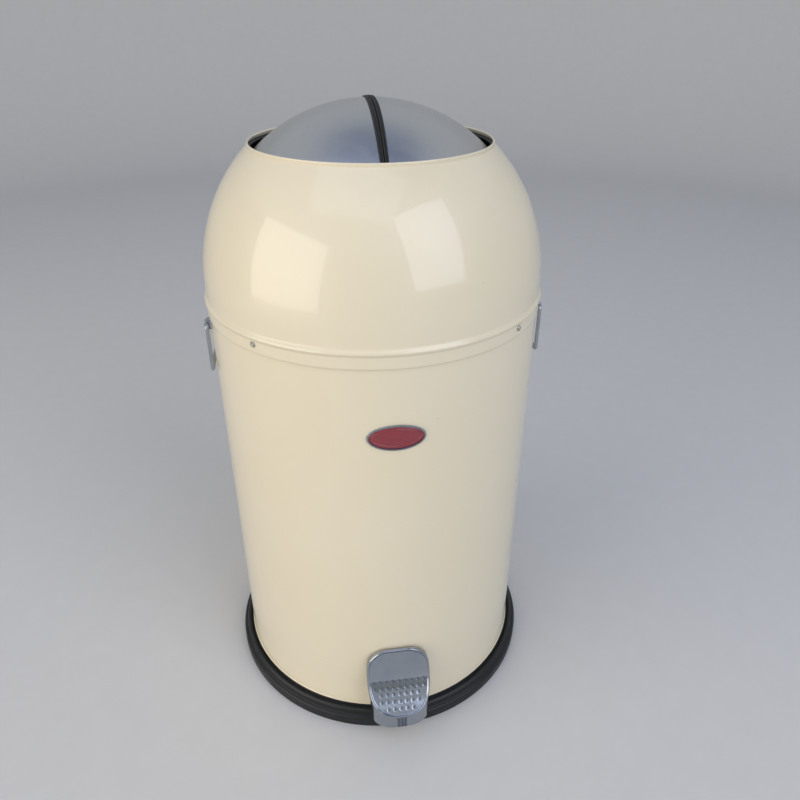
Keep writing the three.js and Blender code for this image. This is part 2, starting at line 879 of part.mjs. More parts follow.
// ---------------------------------------------------------------- leaves, about the dome's centre

// Directions in the XZ plane: angle from straight up, towards the leaf's own side.
function radial(side, angle, radius) {
  return [side * radius * Math.sin(angle), radius * Math.cos(angle)];
}

// A part of a spherical shell between two angles from the seam.
function shellSector(side, outer, inner, end, [from, to]) {
  const barrel = turnedAboutY(
    [...arc(0, 0, outer, -end, end, leafSteps), ...arc(0, 0, inner, end, -end, leafSteps)],
    leafSegments,
  );
  const reach = 2 * outer;
  const steps = [0, 0.5, 1];
  const wedge = steps.map((share) => radial(side, from + (to - from) * share, reach));
  const outline = side > 0 ? [[0, 0], ...wedge].reverse() : [[0, 0], ...wedge];
  return common(barrel, extrudedY(outline, [-outer, outer]));
}

const sealStart = seamGap / leafRadius;
const sealEnd = sealStart + sealWidth / leafRadius;

function leafShell(side) {
  const from = sealEnd + touchGap / leafRadius;
  return shellSector(side, leafRadius, leafInner, leafEndAngle, [from, leafSpan]);
}

// The rubber edging along the seam, which stops short of the ears.
function leafSeal(side) {
  const inner = leafRadius - sealDepth;
  const outer = leafRadius + sealProud;
  const endAngle = Math.asin((innerEar[0] - 2 * touchGap) / outer);
  return shellSector(side, outer, inner, endAngle, [sealStart, sealEnd]);
}

// The inside of the leaf at the plane of an ear, allowing for its flat facets.
function leafInnerAt(y) {
  const facets = Math.cos(Math.PI / leafSegments) * Math.cos(leafEndAngle / leafSteps);
  return Math.sqrt((leafInner * facets) ** 2 - y ** 2) - touchGap;
}

// A plate arm from the pivot to the leaf. The rear ones carry a crank over the far side.
function leafEar(side, end, plane, hasCrank) {
  const armAngle = rad(8);
  const tipHalf = 9;
  const tipRadius = Math.sqrt(leafInnerAt(plane[1]) ** 2 - tipHalf ** 2);
  const neckRadius = Math.min(42, tipRadius - 8);
  const across = (half, radius) => {
    const [x, z] = radial(side, armAngle, radius);
    return [x + side * half * Math.cos(armAngle), z - half * Math.sin(armAngle)];
  };
  const arm = extrudedY(
    [
      across(-5, 0),
      across(5, 0),
      across(5, neckRadius),
      across(tipHalf, tipRadius - 5),
      across(tipHalf, tipRadius),
      across(-tipHalf, tipRadius),
      across(-tipHalf, tipRadius - 5),
      across(-5, neckRadius),
    ],
    plane,
  );
  const hub = bar(hubRadius, [0, plane[0], 0], [0, plane[1], 0], 20);
  const parts = [hub];
  if (hasCrank) {
    const length = crankReach / Math.cos(crankAngle) + 6;
    const crank = box([0, length], plane, [-crankHalfHeight, crankHalfHeight]);
    parts.push(crank.rotateY(side < 0 ? crankAngle : Math.PI - crankAngle));
  }
  const bore = bar(pinRadius + pinClearance, [0, plane[0] - 3, 0], [0, plane[1] + 3, 0], 16);
  const ear = cut(join(arm, ...parts), bore);
  return end < 0 ? ear.translate(0, -plane[0] - plane[1], 0) : ear;
}

// ---------------------------------------------------------------- side handles, about their pivots

// A hanging wire loop whose ends turn inwards into the two lugs, bowed round the body below.
function sideHandle(side) {
  const end = bracketInner + 1;
  const bow = side * (handleWireRadius + 0.5 - handleStandOff);
  const path = roundedPath(
    [
      [0, -end, 0],
      [0, -handleHalfWidth, 0],
      [0, -handleHalfWidth, -handleDrop],
      [bow, -handleHalfWidth / 2, -handleDrop],
      [bow, handleHalfWidth / 2, -handleDrop],
      [0, handleHalfWidth, -handleDrop],
      [0, handleHalfWidth, 0],
      [0, end, 0],
    ],
    handleBend,
  );
  return wire(path, handleWireRadius, 48);
}

// ---------------------------------------------------------------- assembly

const bin = new THREE.Group();

bin.add(
  piece("base_ring", blackPlastic, baseRing()),
  piece("base_plate", zincPlate, disc(plateRadius, 0, plateThickness)),
  piece("body_shell", creamEnamel, bodyShell()),
  piece("false_floor", galvanised, falseFloor()),
  ...postPlaces.map((place, i) => piece(`floor_post_${i + 1}`, zincPlate, floorPost(place))),
  piece("pivot_bracket_left", zincPlate, pivotBracket(-1)),
  piece("pivot_bracket_right", zincPlate, pivotBracket(1)),
  piece("pedal_pivot_pin", zincPlate, pedalPivotPin()),
  piece("rod_guide_lower", zincPlate, rodGuide(bodyBottom + 100)),
  piece("rod_guide_upper", zincPlate, rodGuide(bodyTop - 80)),
  piece("pedal_spring", zincPlate, pedalSpring()),
  piece("badge_rim", chrome, badgeRim()),
  piece("badge_face", redEnamel, badgeFace()),
);

for (const [sideName, side] of [["left", -1], ["right", 1]]) {
  for (const [endName, end] of [["front", -1], ["rear", 1]]) {
    bin.add(piece(`handle_bracket_${sideName}_${endName}`, chrome, handleBracket(side, end)));
  }
  const handle = piece(`${sideName}_handle`, chrome, sideHandle(side));
  bin.add(groupAt([side * handleX, 0, handlePivotZ], handle));
}

bin.add(
  groupAt(
    [0, pedalPivotY, pedalPivotZ],
    piece("pedal_arm", zincPlate, pedalArm()),
    piece("pedal_pad", chrome, pedalPad()),
  ),
  groupAt(
    [0, rodY, 0],
    piece("push_rod", zincPlate, pushRod()),
    piece("rod_fork", zincPlate, rodFork()),
    piece("roller_left", nylon, roller(-crankReach, outerEar)),
    piece("roller_right", nylon, roller(crankReach, innerEar)),
  ),
  groupAt(
    [0, 0, bucketFoot],
    piece("bucket", galvanised, bucketShell()),
    piece("bucket_ear_left", galvanised, bucketEar(-1)),
    piece("bucket_ear_right", galvanised, bucketEar(1)),
    groupAt(
      [0, 0, bailZ],
      piece("bucket_bail", zincPlate, bucketBail()),
      piece("bail_grip", blackPlastic, bailGrip()),
    ),
  ),
);

const head = groupAt(
  [0, 0, domeZ],
  piece("head_shell", creamEnamel, headShell()),
  piece("head_collar", blackPlastic, headCollar()),
  piece("rim_liner", blackPlastic, rimLiner()),
  ...screwTurns.map((angle, i) => piece(`band_screw_${i + 1}`, zincPlate, bandScrew(angle))),
  piece("leaf_bracket_front", zincPlate, leafBracket(-1)),
  piece("leaf_bracket_rear", zincPlate, leafBracket(1)),
  piece("leaf_pin_front", zincPlate, leafPin(-1)),
  piece("leaf_pin_rear", zincPlate, leafPin(1)),
  piece("leaf_closing_spring", zincPlate, leafClosingSpring()),
);

// The left leaf's rear ear is the inner one, and its front ear the outer one.
for (const [name, side] of [["left", -1], ["right", 1]]) {
  const rearPlane = side < 0 ? innerEar : outerEar;
  const frontPlane = side < 0 ? outerEar : innerEar;
  head.add(
    piece(`${name}_leaf`, satinSteel, leafShell(side)),
    piece(`${name}_leaf_seal`, blackRubber, leafSeal(side)),
    piece(`${name}_leaf_rear_ear`, zincPlate, leafEar(side, 1, rearPlane, true)),
    piece(`${name}_leaf_front_ear`, zincPlate, leafEar(side, -1, frontPlane, false)),
  );
}
bin.add(head);

export default bin;
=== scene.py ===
# A round steel pedal bin: a cream enamelled body on a black base ring, a domed head whose two
# steel leaves swing apart when the pedal is pressed, and a loose bucket inside.
# Meshes are worked out in millimetres about the bin's axis and turned to metres when they
# become pieces.

import json
import math

import bmesh
import bpy
from mathutils import Matrix, Vector
from mathutils.kdtree import KDTree


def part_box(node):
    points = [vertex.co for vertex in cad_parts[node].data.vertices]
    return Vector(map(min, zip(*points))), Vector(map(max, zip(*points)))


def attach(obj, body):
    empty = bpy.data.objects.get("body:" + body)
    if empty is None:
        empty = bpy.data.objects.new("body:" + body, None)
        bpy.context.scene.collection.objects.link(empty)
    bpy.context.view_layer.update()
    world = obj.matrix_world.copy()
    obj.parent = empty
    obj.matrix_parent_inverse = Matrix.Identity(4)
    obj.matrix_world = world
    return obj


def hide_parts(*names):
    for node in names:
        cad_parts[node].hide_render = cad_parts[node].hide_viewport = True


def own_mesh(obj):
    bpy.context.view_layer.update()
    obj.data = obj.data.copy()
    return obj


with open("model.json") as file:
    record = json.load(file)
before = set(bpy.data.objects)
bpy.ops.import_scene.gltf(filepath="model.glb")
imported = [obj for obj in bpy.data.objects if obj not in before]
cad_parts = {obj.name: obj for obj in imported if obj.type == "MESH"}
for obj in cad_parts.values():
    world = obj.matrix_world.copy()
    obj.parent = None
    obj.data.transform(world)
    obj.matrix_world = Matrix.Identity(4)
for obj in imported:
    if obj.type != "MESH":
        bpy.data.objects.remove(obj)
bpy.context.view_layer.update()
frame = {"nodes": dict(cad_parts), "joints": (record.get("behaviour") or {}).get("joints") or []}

# ---------------------------------------------------------------- base ring
# The foot of the bin is one ring of moulded black plastic with a fine grained skin. The
# body's lower edge stands on its ledge, behind a groove and a raised shoulder.


def span(node):
    """Lowest and highest corner of a CAD node, in millimetres."""
    low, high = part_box(node)
    return low * 1000, high * 1000


def linear(colour):
    """An sRGB hex colour as linear red, green, blue and alpha."""
    channels = [int(colour[i : i + 2], 16) / 255 for i in (0, 2, 4)]
    return [c / 12.92 if c <= 0.04045 else ((c + 0.055) / 1.055) ** 2.4 for c in channels] + [1]


def set_node(node, settings, links):
    """Gives a node its settings, and links its inputs to other nodes' first or named outputs."""
    for key, value in settings.items():
        if key == "stops":
            stops = node.color_ramp.elements
            stops[0].position, stops[0].color = value[0]
            stops[1].position, stops[1].color = value[-1]
            for place, colour in value[1:-1]:
                stops.new(place).color = colour
        elif isinstance(key, int) or key in node.inputs:
            node.inputs[key].default_value = value
        else:
            setattr(node, key, value)
    for key, source in links.items():
        outputs = getattr(source, "outputs", [source])
        node.id_data.links.new(outputs[0], node.inputs[key])
    return node


def add_node(tree, kind, settings={}, links={}):
    """Adds a node with its settings and links."""
    return set_node(tree.nodes.new("ShaderNode" + kind), settings, links)


def start_material(name):
    """A material with its surface's shader, and the object's own coordinates for its patterns."""
    material = bpy.data.materials.new(name)
    material.use_nodes = True
    tree = material.node_tree
    tree.nodes.clear()
    surface = add_node(tree, "BsdfPrincipled")
    add_node(tree, "OutputMaterial", links={"Surface": surface})
    return material, tree, add_node(tree, "TexCoord").outputs["Object"], surface


def grey(value):
    """A level of grey for a ramp's stop."""
    return [value, value, value, 1]


def rounded(outline, reach, steps=4):
    """Rounds each corner of a closed outline, at most half way along its sides."""
    points = []
    for i, middle in enumerate(outline):
        corner = Vector(middle)
        back = Vector(outline[i - 1]) - corner
        ahead = Vector(outline[(i + 1) % len(outline)]) - corner
        start = corner + back.normalized() * min(reach, 0.45 * back.length)
        end = corner + ahead.normalized() * min(reach, 0.45 * ahead.length)
        for step in range(steps + 1):
            t = step / steps
            points.append((1 - t) ** 2 * start + 2 * t * (1 - t) * corner + t * t * end)
    return points


def spun(outline, steps=192):
    """Turns a closed outline of radius and height about the upright axis."""
    mesh = bmesh.new()
    points = [mesh.verts.new((radius, 0, height)) for radius, height in outline]
    lines = [mesh.edges.new(pair) for pair in zip(points, points[1:] + points[:1])]
    turn = {"cent": (0, 0, 0), "axis": (0, 0, 1), "dvec": (0, 0, 0), "angle": math.tau}
    bmesh.ops.spin(mesh, geom=points + lines, steps=steps, use_merge=True, **turn)
    return mesh


def make_piece(name, mesh, finish, body, slot, *stands_for, sharp=32):
    """Makes a piece of a mesh in millimetres, and has it ride on a body."""
    bmesh.ops.remove_doubles(mesh, verts=mesh.verts, dist=0.0005)
    bmesh.ops.recalc_face_normals(mesh, faces=mesh.faces)
    bmesh.ops.scale(mesh, vec=(0.001, 0.001, 0.001), verts=mesh.verts)
    for face in mesh.faces:
        face.smooth = True
    for edge in mesh.edges:
        edge.smooth = edge.is_manifold and edge.calc_face_angle() < math.radians(sharp)
    data = bpy.data.meshes.new(name)
    mesh.to_mesh(data)
    mesh.free()
    data.materials.append(finish)
    piece = bpy.data.objects.new(name, data)
    bpy.context.scene.collection.objects.link(piece)
    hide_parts(*stands_for)
    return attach(piece, body)


# Black polypropylene, moulded with a spark-eroded grain: matt, with dust on its flats.
black_plastic, tree, place, surface = start_material("moulded_black_polypropylene")
grain = add_node(tree, "TexNoise", {"Scale": 900, "Detail": 2}, {"Vector": place})
dust_cloud = add_node(tree, "TexNoise", {"Scale": 38, "Detail": 6}, {"Vector": place})
skin = add_node(tree, "NewGeometry")
upward = add_node(tree, "SeparateXYZ", {}, {0: skin.outputs["Normal"]})
flats = add_node(tree, "MapRange", {1: 0.2, 2: 1.0, 3: 0.08, 4: 0.75}, {0: upward.outputs[2]})
dust_patch = add_node(tree, "ValToRGB", {"stops": [(0.42, grey(0)), (0.72, grey(1))]}, {0: dust_cloud})
dust = add_node(tree, "Math", {"operation": "MULTIPLY"}, {0: flats, 1: dust_patch})
dust_share = add_node(tree, "Math", {"operation": "MULTIPLY", 1: 0.2}, {0: dust})
plastic_tone = add_node(
    tree, "Mix", {"data_type": "RGBA", 6: linear("0F1214"), 7: linear("434745")}, {0: dust_share}
)
plastic_gloss = add_node(tree, "MapRange", {3: 0.36, 4: 0.6}, {0: dust_cloud})
plastic_grain = add_node(tree, "Bump", {"Strength": 0.25, "Distance": 0.0003}, {"Height": grain})
set_node(
    surface, {"IOR": 1.49},
    {"Base Color": plastic_tone.outputs[2], "Roughness": plastic_gloss, "Normal": plastic_grain},
)

body_low, body_high = span("body_shell")
body_radius = body_high.x
body_bottom, body_top = body_low.z, body_high.z
body_wall = 0.8
body_inner = body_radius - body_wall

ring_high = span("base_ring")[1]
ring_radius = ring_high.x
ledge = body_bottom - 0.3
groove = body_radius + 2.2

base_ring = spun(
    rounded(
        [
            (body_inner - 9, 0), (ring_radius - 1.5, 0), (ring_radius, 1.5), (ring_radius, 11),
            (ring_radius - 1.4, 13.4), (ring_radius - 4.6, 14.6), (groove + 6.4, 19.6),
            (groove + 4.4, 21.8), (groove + 2.2, 21.8), (groove + 1.3, 20), (groove, 20),
            (groove - 0.6, ledge), (body_inner - 0.6, ledge), (body_inner - 0.6, ring_high.z),
            (body_inner - 3, ring_high.z), (body_inner - 3, 8), (body_inner - 9, 8),
        ],
        0.9,
    ),
    240,
)
make_piece("base_ring_moulding", base_ring, black_plastic, "bin_body", "black_plastic", "base_ring")

# ---------------------------------------------------------------- chassis inside the base
# Pressed and turned steel parts, bright zinc plated, and a galvanised floor on four posts
# above the pedal's lever. None of them shows while the bucket is in.

# Bright zinc plate with a clear passivate: pale grey, faintly yellow and blue in patches.
zinc_plate, tree, place, surface = start_material("bright_zinc_plate")
cloud = add_node(tree, "TexNoise", {"Scale": 60, "Detail": 4}, {"Vector": place})
grit = add_node(tree, "TexNoise", {"Scale": 700, "Detail": 3}, {"Vector": place})
zinc_tone = add_node(
    tree, "ValToRGB",
    {"stops": [(0.3, linear("A9B0B4")), (0.52, linear("B9B8AE")), (0.72, linear("C2BCA6"))]},
    {0: cloud},
)
zinc_gloss = add_node(tree, "MapRange", {3: 0.3, 4: 0.48}, {0: grit})
zinc_skin = add_node(tree, "Bump", {"Strength": 0.12, "Distance": 0.0002}, {"Height": grit})
set_node(
    surface, {"Metallic": 0.95}, {"Base Color": zinc_tone, "Roughness": zinc_gloss, "Normal": zinc_skin}
)

# Hot-dip galvanised sheet: the zinc freezes in flat crystals about 9 mm across, each with
# its own grey and its own gloss.
galvanised, tree, place, surface = start_material("hot_dip_galvanised_sheet")
crystals = add_node(tree, "TexVoronoi", {"Scale": 110, "Randomness": 1}, {"Vector": place})
crystal_level = add_node(tree, "SeparateColor", {}, {0: crystals.outputs["Color"]})
frost = add_node(tree, "TexNoise", {"Scale": 420, "Detail": 4}, {"Vector": place})
spangle = add_node(
    tree, "Mix", {"data_type": "RGBA", 6: linear("8F959A"), 7: linear("B9BEC1")}, {0: crystal_level}
)
spangle_gloss = add_node(tree, "MapRange", {3: 0.3, 4: 0.52}, {0: crystal_level.outputs[1]})
spangle_skin = add_node(tree, "Bump", {"Strength": 0.15, "Distance": 0.0002}, {"Height": frost})
set_node(
    surface, {"Metallic": 0.9},
    {"Base Color": spangle.outputs[2], "Roughness": spangle_gloss, "Normal": spangle_skin},
)

kept_nodes = {
    "base_plate": zinc_plate, "false_floor": galvanised, "pivot_bracket_left": zinc_plate,
    "pivot_bracket_right": zinc_plate, "pedal_pivot_pin": zinc_plate, "rod_guide_lower": zinc_plate,
    "rod_guide_upper": zinc_plate,
}
kept_nodes.update({f"floor_post_{number}": zinc_plate for number in (1, 2, 3, 4)})
for node, finish in kept_nodes.items():
    for slot in frame["nodes"][node].material_slots:
        slot.material = finish

# ---------------------------------------------------------------- pedal return spring
# A compression coil of 2 mm music wire between the base plate and the underside of the lever.
# In the bin it shortens as the pedal goes down; here it is one fixed coil on the body.


def extruded(mesh, lines):
    """Extrudes edges in place, and gives the new vertices and the edges between them."""
    grown = bmesh.ops.extrude_edge_only(mesh, edges=lines)["geom"]
    verts = [part for part in grown if isinstance(part, bmesh.types.BMVert)]
    held = set(verts)
    edges = [part for part in grown if isinstance(part, bmesh.types.BMEdge)]
    return verts, [edge for edge in edges if set(edge.verts) <= held]


def swept(path, radius, sides=16):
    """A round wire along a list of points. The radius is one number or one for each point."""
    points = [Vector(point) for point in path]
    radii = radius if isinstance(radius, list) else [radius] * len(points)
    mesh = bmesh.new()
    ring = bmesh.ops.create_circle(mesh, segments=sides, radius=1)["verts"]
    lines = list(mesh.edges)
    heading = (points[1] - points[0]).normalized()
    facing = heading.to_track_quat("Z", "Y").to_matrix().to_4x4()
    size = Matrix.Scale(radii[0], 4)
    bmesh.ops.transform(mesh, matrix=Matrix.Translation(points[0]) @ facing @ size, verts=ring)
    for i in range(1, len(points)):
        ring, lines = extruded(mesh, lines)
        ahead = points[min(i + 1, len(points) - 1)] - points[i - 1]
        turn = heading.rotation_difference(ahead.normalized()).to_matrix().to_4x4()
        heading = ahead.normalized()
        size = Matrix.Scale(radii[i] / radii[i - 1], 4)
        back = Matrix.Translation(-points[i - 1])
        bmesh.ops.transform(mesh, matrix=Matrix.Translation(points[i]) @ turn @ size @ back, verts=ring)
    bmesh.ops.holes_fill(mesh, edges=mesh.edges, sides=sides)
    return mesh


def coil(radius, wire, bottom, top, turns):
    """A helical wire about the upright axis whose first and last turns lie flat."""
    path = []
    steps = int(turns * 28)
    for i in range(steps + 1):
        t = i / steps
        rise = min(max((t * turns - 0.75) / (turns - 1.5), 0), 1)
        angle = math.tau * turns * t
        height = bottom + (top - bottom) * (0.06 * t + 0.94 * rise)
        path.append((radius * math.cos(angle), radius * math.sin(angle), height))
    return swept(path, wire, 10)


spring_low, spring_high = span("pedal_spring")
spring_wire = 1
spring_middle = (spring_low + spring_high) / 2
pedal_spring = coil(8, spring_wire, spring_low.z + spring_wire, spring_high.z - spring_wire, 6)
bmesh.ops.translate(pedal_spring, vec=(0, spring_middle.y, 0), verts=pedal_spring.verts)
spring_piece = make_piece(
    "pedal_return_spring", pedal_spring, zinc_plate, "bin_body", "zinc_plate", "pedal_spring"
)
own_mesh(spring_piece)

# ---------------------------------------------------------------- body
# The body is a tube of 0.8 mm steel sheet, rolled, welded down the back and hemmed outwards
# at its foot, then stove enamelled in glossy cream. A slot at the front lets the lever through.

# Cream stoved enamel: a warm off-white under a hard clear gloss with a faint orange peel,
# with a little dust, small marks and slow changes of tone.
cream_enamel, tree, place, surface = start_material("cream_stoved_enamel")
cloud = add_node(tree, "TexNoise", {"Scale": 7, "Detail": 3}, {"Vector": place})
peel = add_node(tree, "TexNoise", {"Scale": 260, "Detail": 1}, {"Vector": place})
ripple = add_node(tree, "TexNoise", {"Scale": 14, "Detail": 2}, {"Vector": place})
smear = add_node(tree, "TexNoise", {"Scale": 18, "Detail": 3}, {"Vector": place})
enamel_tone = add_node(
    tree, "Mix", {"data_type": "RGBA", 6: linear("E9DDBC"), 7: linear("ECE2C8")}, {0: cloud}
)
specks = add_node(tree, "TexVoronoi", {"Scale": 75, "Randomness": 1}, {"Vector": place})
speck_kind = add_node(tree, "SeparateColor", {}, {0: specks.outputs["Color"]})
speck_core = add_node(tree, "MapRange", {1: 0.03, 2: 0.07, 3: 1, 4: 0}, {0: specks.outputs["Distance"]})
speck_chosen = add_node(tree, "Math", {"operation": "GREATER_THAN", 1: 0.93}, {0: speck_kind})
speck = add_node(tree, "Math", {"operation": "MULTIPLY"}, {0: speck_core, 1: speck_chosen})
speck_share = add_node(tree, "Math", {"operation": "MULTIPLY", 1: 0.35}, {0: speck})
marked_tone = add_node(
    tree, "Mix", {"data_type": "RGBA", 7: linear("8B806A")}, {0: speck_share, 6: enamel_tone.outputs[2]}
)
enamel_gloss = add_node(tree, "MapRange", {1: 0.3, 2: 0.7, 3: 0.29, 4: 0.36}, {0: smear})
peel_height = add_node(tree, "Bump", {"Strength": 0.05, "Distance": 0.0002}, {"Height": peel})
sheet_waves = add_node(
    tree, "Bump", {"Strength": 0.06, "Distance": 0.004}, {"Height": ripple, "Normal": peel_height}
)
set_node(
    surface, {"IOR": 1.5, "Coat Weight": 0.75, "Coat Roughness": 0.045},
    {
        "Base Color": marked_tone.outputs[2], "Roughness": enamel_gloss, "Normal": sheet_waves,
        "Coat Normal": sheet_waves,
    },
)

joints = {joint["name"]: joint for joint in frame["joints"]}
pedal_joint = joints["pedal_press"]
pedal_pivot = Vector(pedal_joint["pos_m"]) * 1000
pedal_travel = math.radians(pedal_joint["range_deg"][1])
arm_low, arm_high = span("pedal_arm")
arm_half = 3
arm_height = 12
arm_front_top = pedal_pivot.z + 22
slot_half = arm_half + 3
slot_top = arm_front_top + 2
slot_bottom = arm_front_top - arm_height - (body_radius + pedal_pivot.y) * math.tan(pedal_travel) - 2

body_outline = [
    (body_inner, body_bottom + 1.4), (body_radius - 0.7, body_bottom + 0.4), (body_radius, body_bottom),
    (body_radius + 0.7, body_bottom + 0.2), (body_radius + 1.05, body_bottom + 0.9),
    (body_radius + 0.8, body_bottom + 1.6), (body_radius + 0.2, body_bottom + 2.2),
    (body_radius, slot_bottom), (body_radius, slot_top), (body_radius, body_top - 0.3),
    (body_radius - 0.3, body_top), (body_inner + 0.3, body_top), (body_inner, body_top - 0.3),
    (body_inner, slot_top), (body_inner, slot_bottom),
]
body_tube = spun(body_outline, 240)
for edge_x in (-slot_half, slot_half):
    front = [face for face in body_tube.faces if face.calc_center_median().y < 0]
    front = [face for face in front if abs(face.calc_center_median().x) < 4 * slot_half]
    touched = {part for face in front for part in [*face.edges, *face.verts]}
    bmesh.ops.bisect_plane(
        body_tube, geom=front + list(touched), plane_co=(edge_x, 0, 0), plane_no=(1, 0, 0)
    )
window = []
for face in body_tube.faces:
    middle = face.calc_center_median()
    if middle.y < 0 and abs(middle.x) < slot_half and slot_bottom < middle.z < slot_top:
        window.append(face)
bmesh.ops.delete(body_tube, geom=window, context="FACES")
rims = [edge for edge in body_tube.edges if edge.is_boundary]
bmesh.ops.bridge_loops(body_tube, edges=rims)
make_piece("body_tube", body_tube, cream_enamel, "bin_body", "cream_enamel", "body_shell")

# ---------------------------------------------------------------- badge
# A small oval badge on the front: a chromed rim pressed round a domed, vitreous red plate.
# It carries no mark, only a raised line inside its rim.

# Bright chrome plate over polished steel: a bluish mirror with faint haze and finger smears,
# and painted shade, darker and duller, in the hollows that a piece marks as shaded.
chrome_plate, tree, place, surface = start_material("bright_chrome_plate")
haze = add_node(tree, "TexNoise", {"Scale": 55, "Detail": 7, "Distortion": 0.8}, {"Vector": place})
pits = add_node(tree, "TexNoise", {"Scale": 800, "Detail": 2}, {"Vector": place})
chrome_tone = add_node(
    tree, "Mix", {"data_type": "RGBA", 6: linear("B0B6BD"), 7: linear("9AA2AD")}, {0: haze}
)
chrome_gloss = add_node(tree, "MapRange", {1: 0.35, 2: 0.75, 3: 0.05, 4: 0.2}, {0: haze})
# Painted shade: this attribute darkens the chrome and dulls its gloss in the hollows a piece marks, where
# shade falls.
dimple_shade_value = add_node(tree, "Attribute", {"attribute_name": "soiling"})
painted_shade_share = add_node(tree, "MapRange", {1: 0.0, 2: 0.35, 3: 0, 4: 0.6}, {0: dimple_shade_value.outputs["Fac"]})
shaded_chrome_tone = add_node(
    tree, "Mix", {"data_type": "RGBA", 7: linear("3A3F44")}, {0: painted_shade_share, 6: chrome_tone.outputs[2]}
)
shaded_chrome_gloss = add_node(
    tree, "Math", {"operation": "MULTIPLY_ADD", 1: 0.5}, {0: painted_shade_share, 2: chrome_gloss}
)
chrome_skin = add_node(tree, "Bump", {"Strength": 0.04, "Distance": 0.0001}, {"Height": pits})
set_node(
    surface, {"Metallic": 1},
    {"Base Color": shaded_chrome_tone.outputs[2], "Roughness": shaded_chrome_gloss, "Normal": chrome_skin},
)

# Vitreous red enamel fired on the badge: deep red glass with a few pinholes.
red_enamel, tree, place, surface = start_material("vitreous_red_enamel")
melt = add_node(tree, "TexNoise", {"Scale": 180, "Detail": 4}, {"Vector": place})
red_tone = add_node(
    tree, "Mix", {"data_type": "RGBA", 6: linear("7C2630"), 7: linear("97323A")}, {0: melt}
)
red_gloss = add_node(tree, "MapRange", {3: 0.16, 4: 0.25}, {0: melt})
red_waves = add_node(tree, "Bump", {"Strength": 0.1, "Distance": 0.0003}, {"Height": melt})
set_node(
    surface, {"IOR": 1.52, "Coat Weight": 0.5, "Coat Roughness": 0.06},
    {"Base Color": red_tone.outputs[2], "Roughness": red_gloss, "Normal": red_waves},
)


def oval_relief(rings, middle_height):
    """An oval relief laid on the body's front: rings of half width, half height and depth."""
    mesh = bmesh.new()
    bmesh.ops.create_circle(mesh, segments=96, radius=1)
    ring = list(mesh.verts)
    lines = list(mesh.edges)
    before = (1, 1, 0)
    for half_width, half_height, depth in rings:
        if before != (1, 1, 0):
            ring, lines = extruded(mesh, lines)
        size = (half_width / before[0], half_height / before[1], 1)
        bmesh.ops.scale(mesh, vec=size, verts=ring)
        bmesh.ops.translate(mesh, vec=(0, 0, depth - before[2]), verts=ring)
        before = (half_width, half_height, depth)
    bmesh.ops.holes_fill(mesh, edges=mesh.edges, sides=96)
    for vert in mesh.verts:
        across, up, depth = vert.co
        reach = math.sqrt((body_radius + depth) ** 2 - across**2)
        vert.co = (across, -reach, middle_height + up)
    return mesh


rim_low, rim_high = span("badge_rim")
badge_middle = (rim_low.z + rim_high.z) / 2
badge_half_width = rim_high.x
badge_half_height = (rim_high.z - rim_low.z) / 2
rim_profile = [(0, 0.3), (0, 1.2), (0.35, 1.8), (1, 2), (1.65, 1.8), (2, 1.2), (2, 0.3)]
badge_rim = oval_relief(
    [(badge_half_width - inset, badge_half_height - inset, depth) for inset, depth in rim_profile],
    badge_middle,
)
flat_backs = [face for face in badge_rim.faces if len(face.verts) > 4]
bmesh.ops.delete(badge_rim, geom=flat_backs, context="FACES")
bmesh.ops.bridge_loops(badge_rim, edges=[edge for edge in badge_rim.edges if edge.is_boundary])
make_piece("badge_chrome_rim", badge_rim, chrome_plate, "bin_body", "chrome", "badge_rim")

face_profile = [
    (2.3, 0.3), (2.3, 0.9), (2.7, 1.15), (4.3, 1.2), (4.6, 1.45), (5.2, 1.45), (5.5, 1.2), (8, 1.3),
    (11, 1.42), (13, 1.47),
]
badge_face = oval_relief(
    [(badge_half_width - inset, badge_half_height - inset, depth) for inset, depth in face_profile],
    badge_middle,
)
make_piece("badge_red_plate", badge_face, red_enamel, "bin_body", "red_enamel", "badge_face")

# ---------------------------------------------------------------- side handles
# A wire handle hangs against each side of the body, its ends turned in and sprung into two
# bored lugs. Wire and lugs are chromed steel.


def plate(outline, thickness, edge=0.4, segments=3):
    """A plate lying from height 0 to its thickness, with its edges broken."""
    mesh = bmesh.new()
    face = mesh.faces.new([mesh.verts.new((*corner, 0)) for corner in outline])
    grown = bmesh.ops.extrude_face_region(mesh, geom=[face])["geom"]
    top = [part for part in grown if isinstance(part, bmesh.types.BMVert)]
    bmesh.ops.translate(mesh, vec=(0, 0, thickness), verts=top)
    bmesh.ops.holes_fill(mesh, edges=mesh.edges, sides=len(outline))
    bmesh.ops.recalc_face_normals(mesh, faces=mesh.faces)
    corners = [line for line in mesh.edges if line.calc_face_angle(0) > math.radians(60)]
    break_edge = {"offset": edge, "offset_type": "OFFSET", "affect": "EDGES", "profile": 0.5}
    bmesh.ops.bevel(mesh, geom=corners, segments=segments, material=-1, clamp_overlap=True, **break_edge)
    return mesh


def moved(mesh, *steps):
    """Turns or shifts a whole mesh, the first step first."""
    for step in steps:
        bmesh.ops.transform(mesh, matrix=step, verts=mesh.verts)
    return mesh


def add_to(mesh, other):
    """Puts another mesh's parts into this one."""
    carrier = bpy.data.meshes.new("carrier")
    other.to_mesh(carrier)
    mesh.from_mesh(carrier)
    bpy.data.meshes.remove(carrier)
    other.free()
    return mesh


def arc(middle, radius, start, end, steps):
    """Points on an arc in a plane, from one angle in degrees to another."""
    points = []
    for i in range(steps + 1):
        angle = math.radians(start + (end - start) * i / steps)
        points.append((middle[0] + radius * math.cos(angle), middle[1] + radius * math.sin(angle)))
    return points


# Steps that lay a plate from the XY plane along another axis, thickness last.
STAND_ALONG_X = Matrix(((0, 0, 1, 0), (1, 0, 0, 0), (0, 1, 0, 0), (0, 0, 0, 1)))
STAND_ALONG_Y = Matrix(((1, 0, 0, 0), (0, 0, 1, 0), (0, 1, 0, 0), (0, 0, 0, 1)))

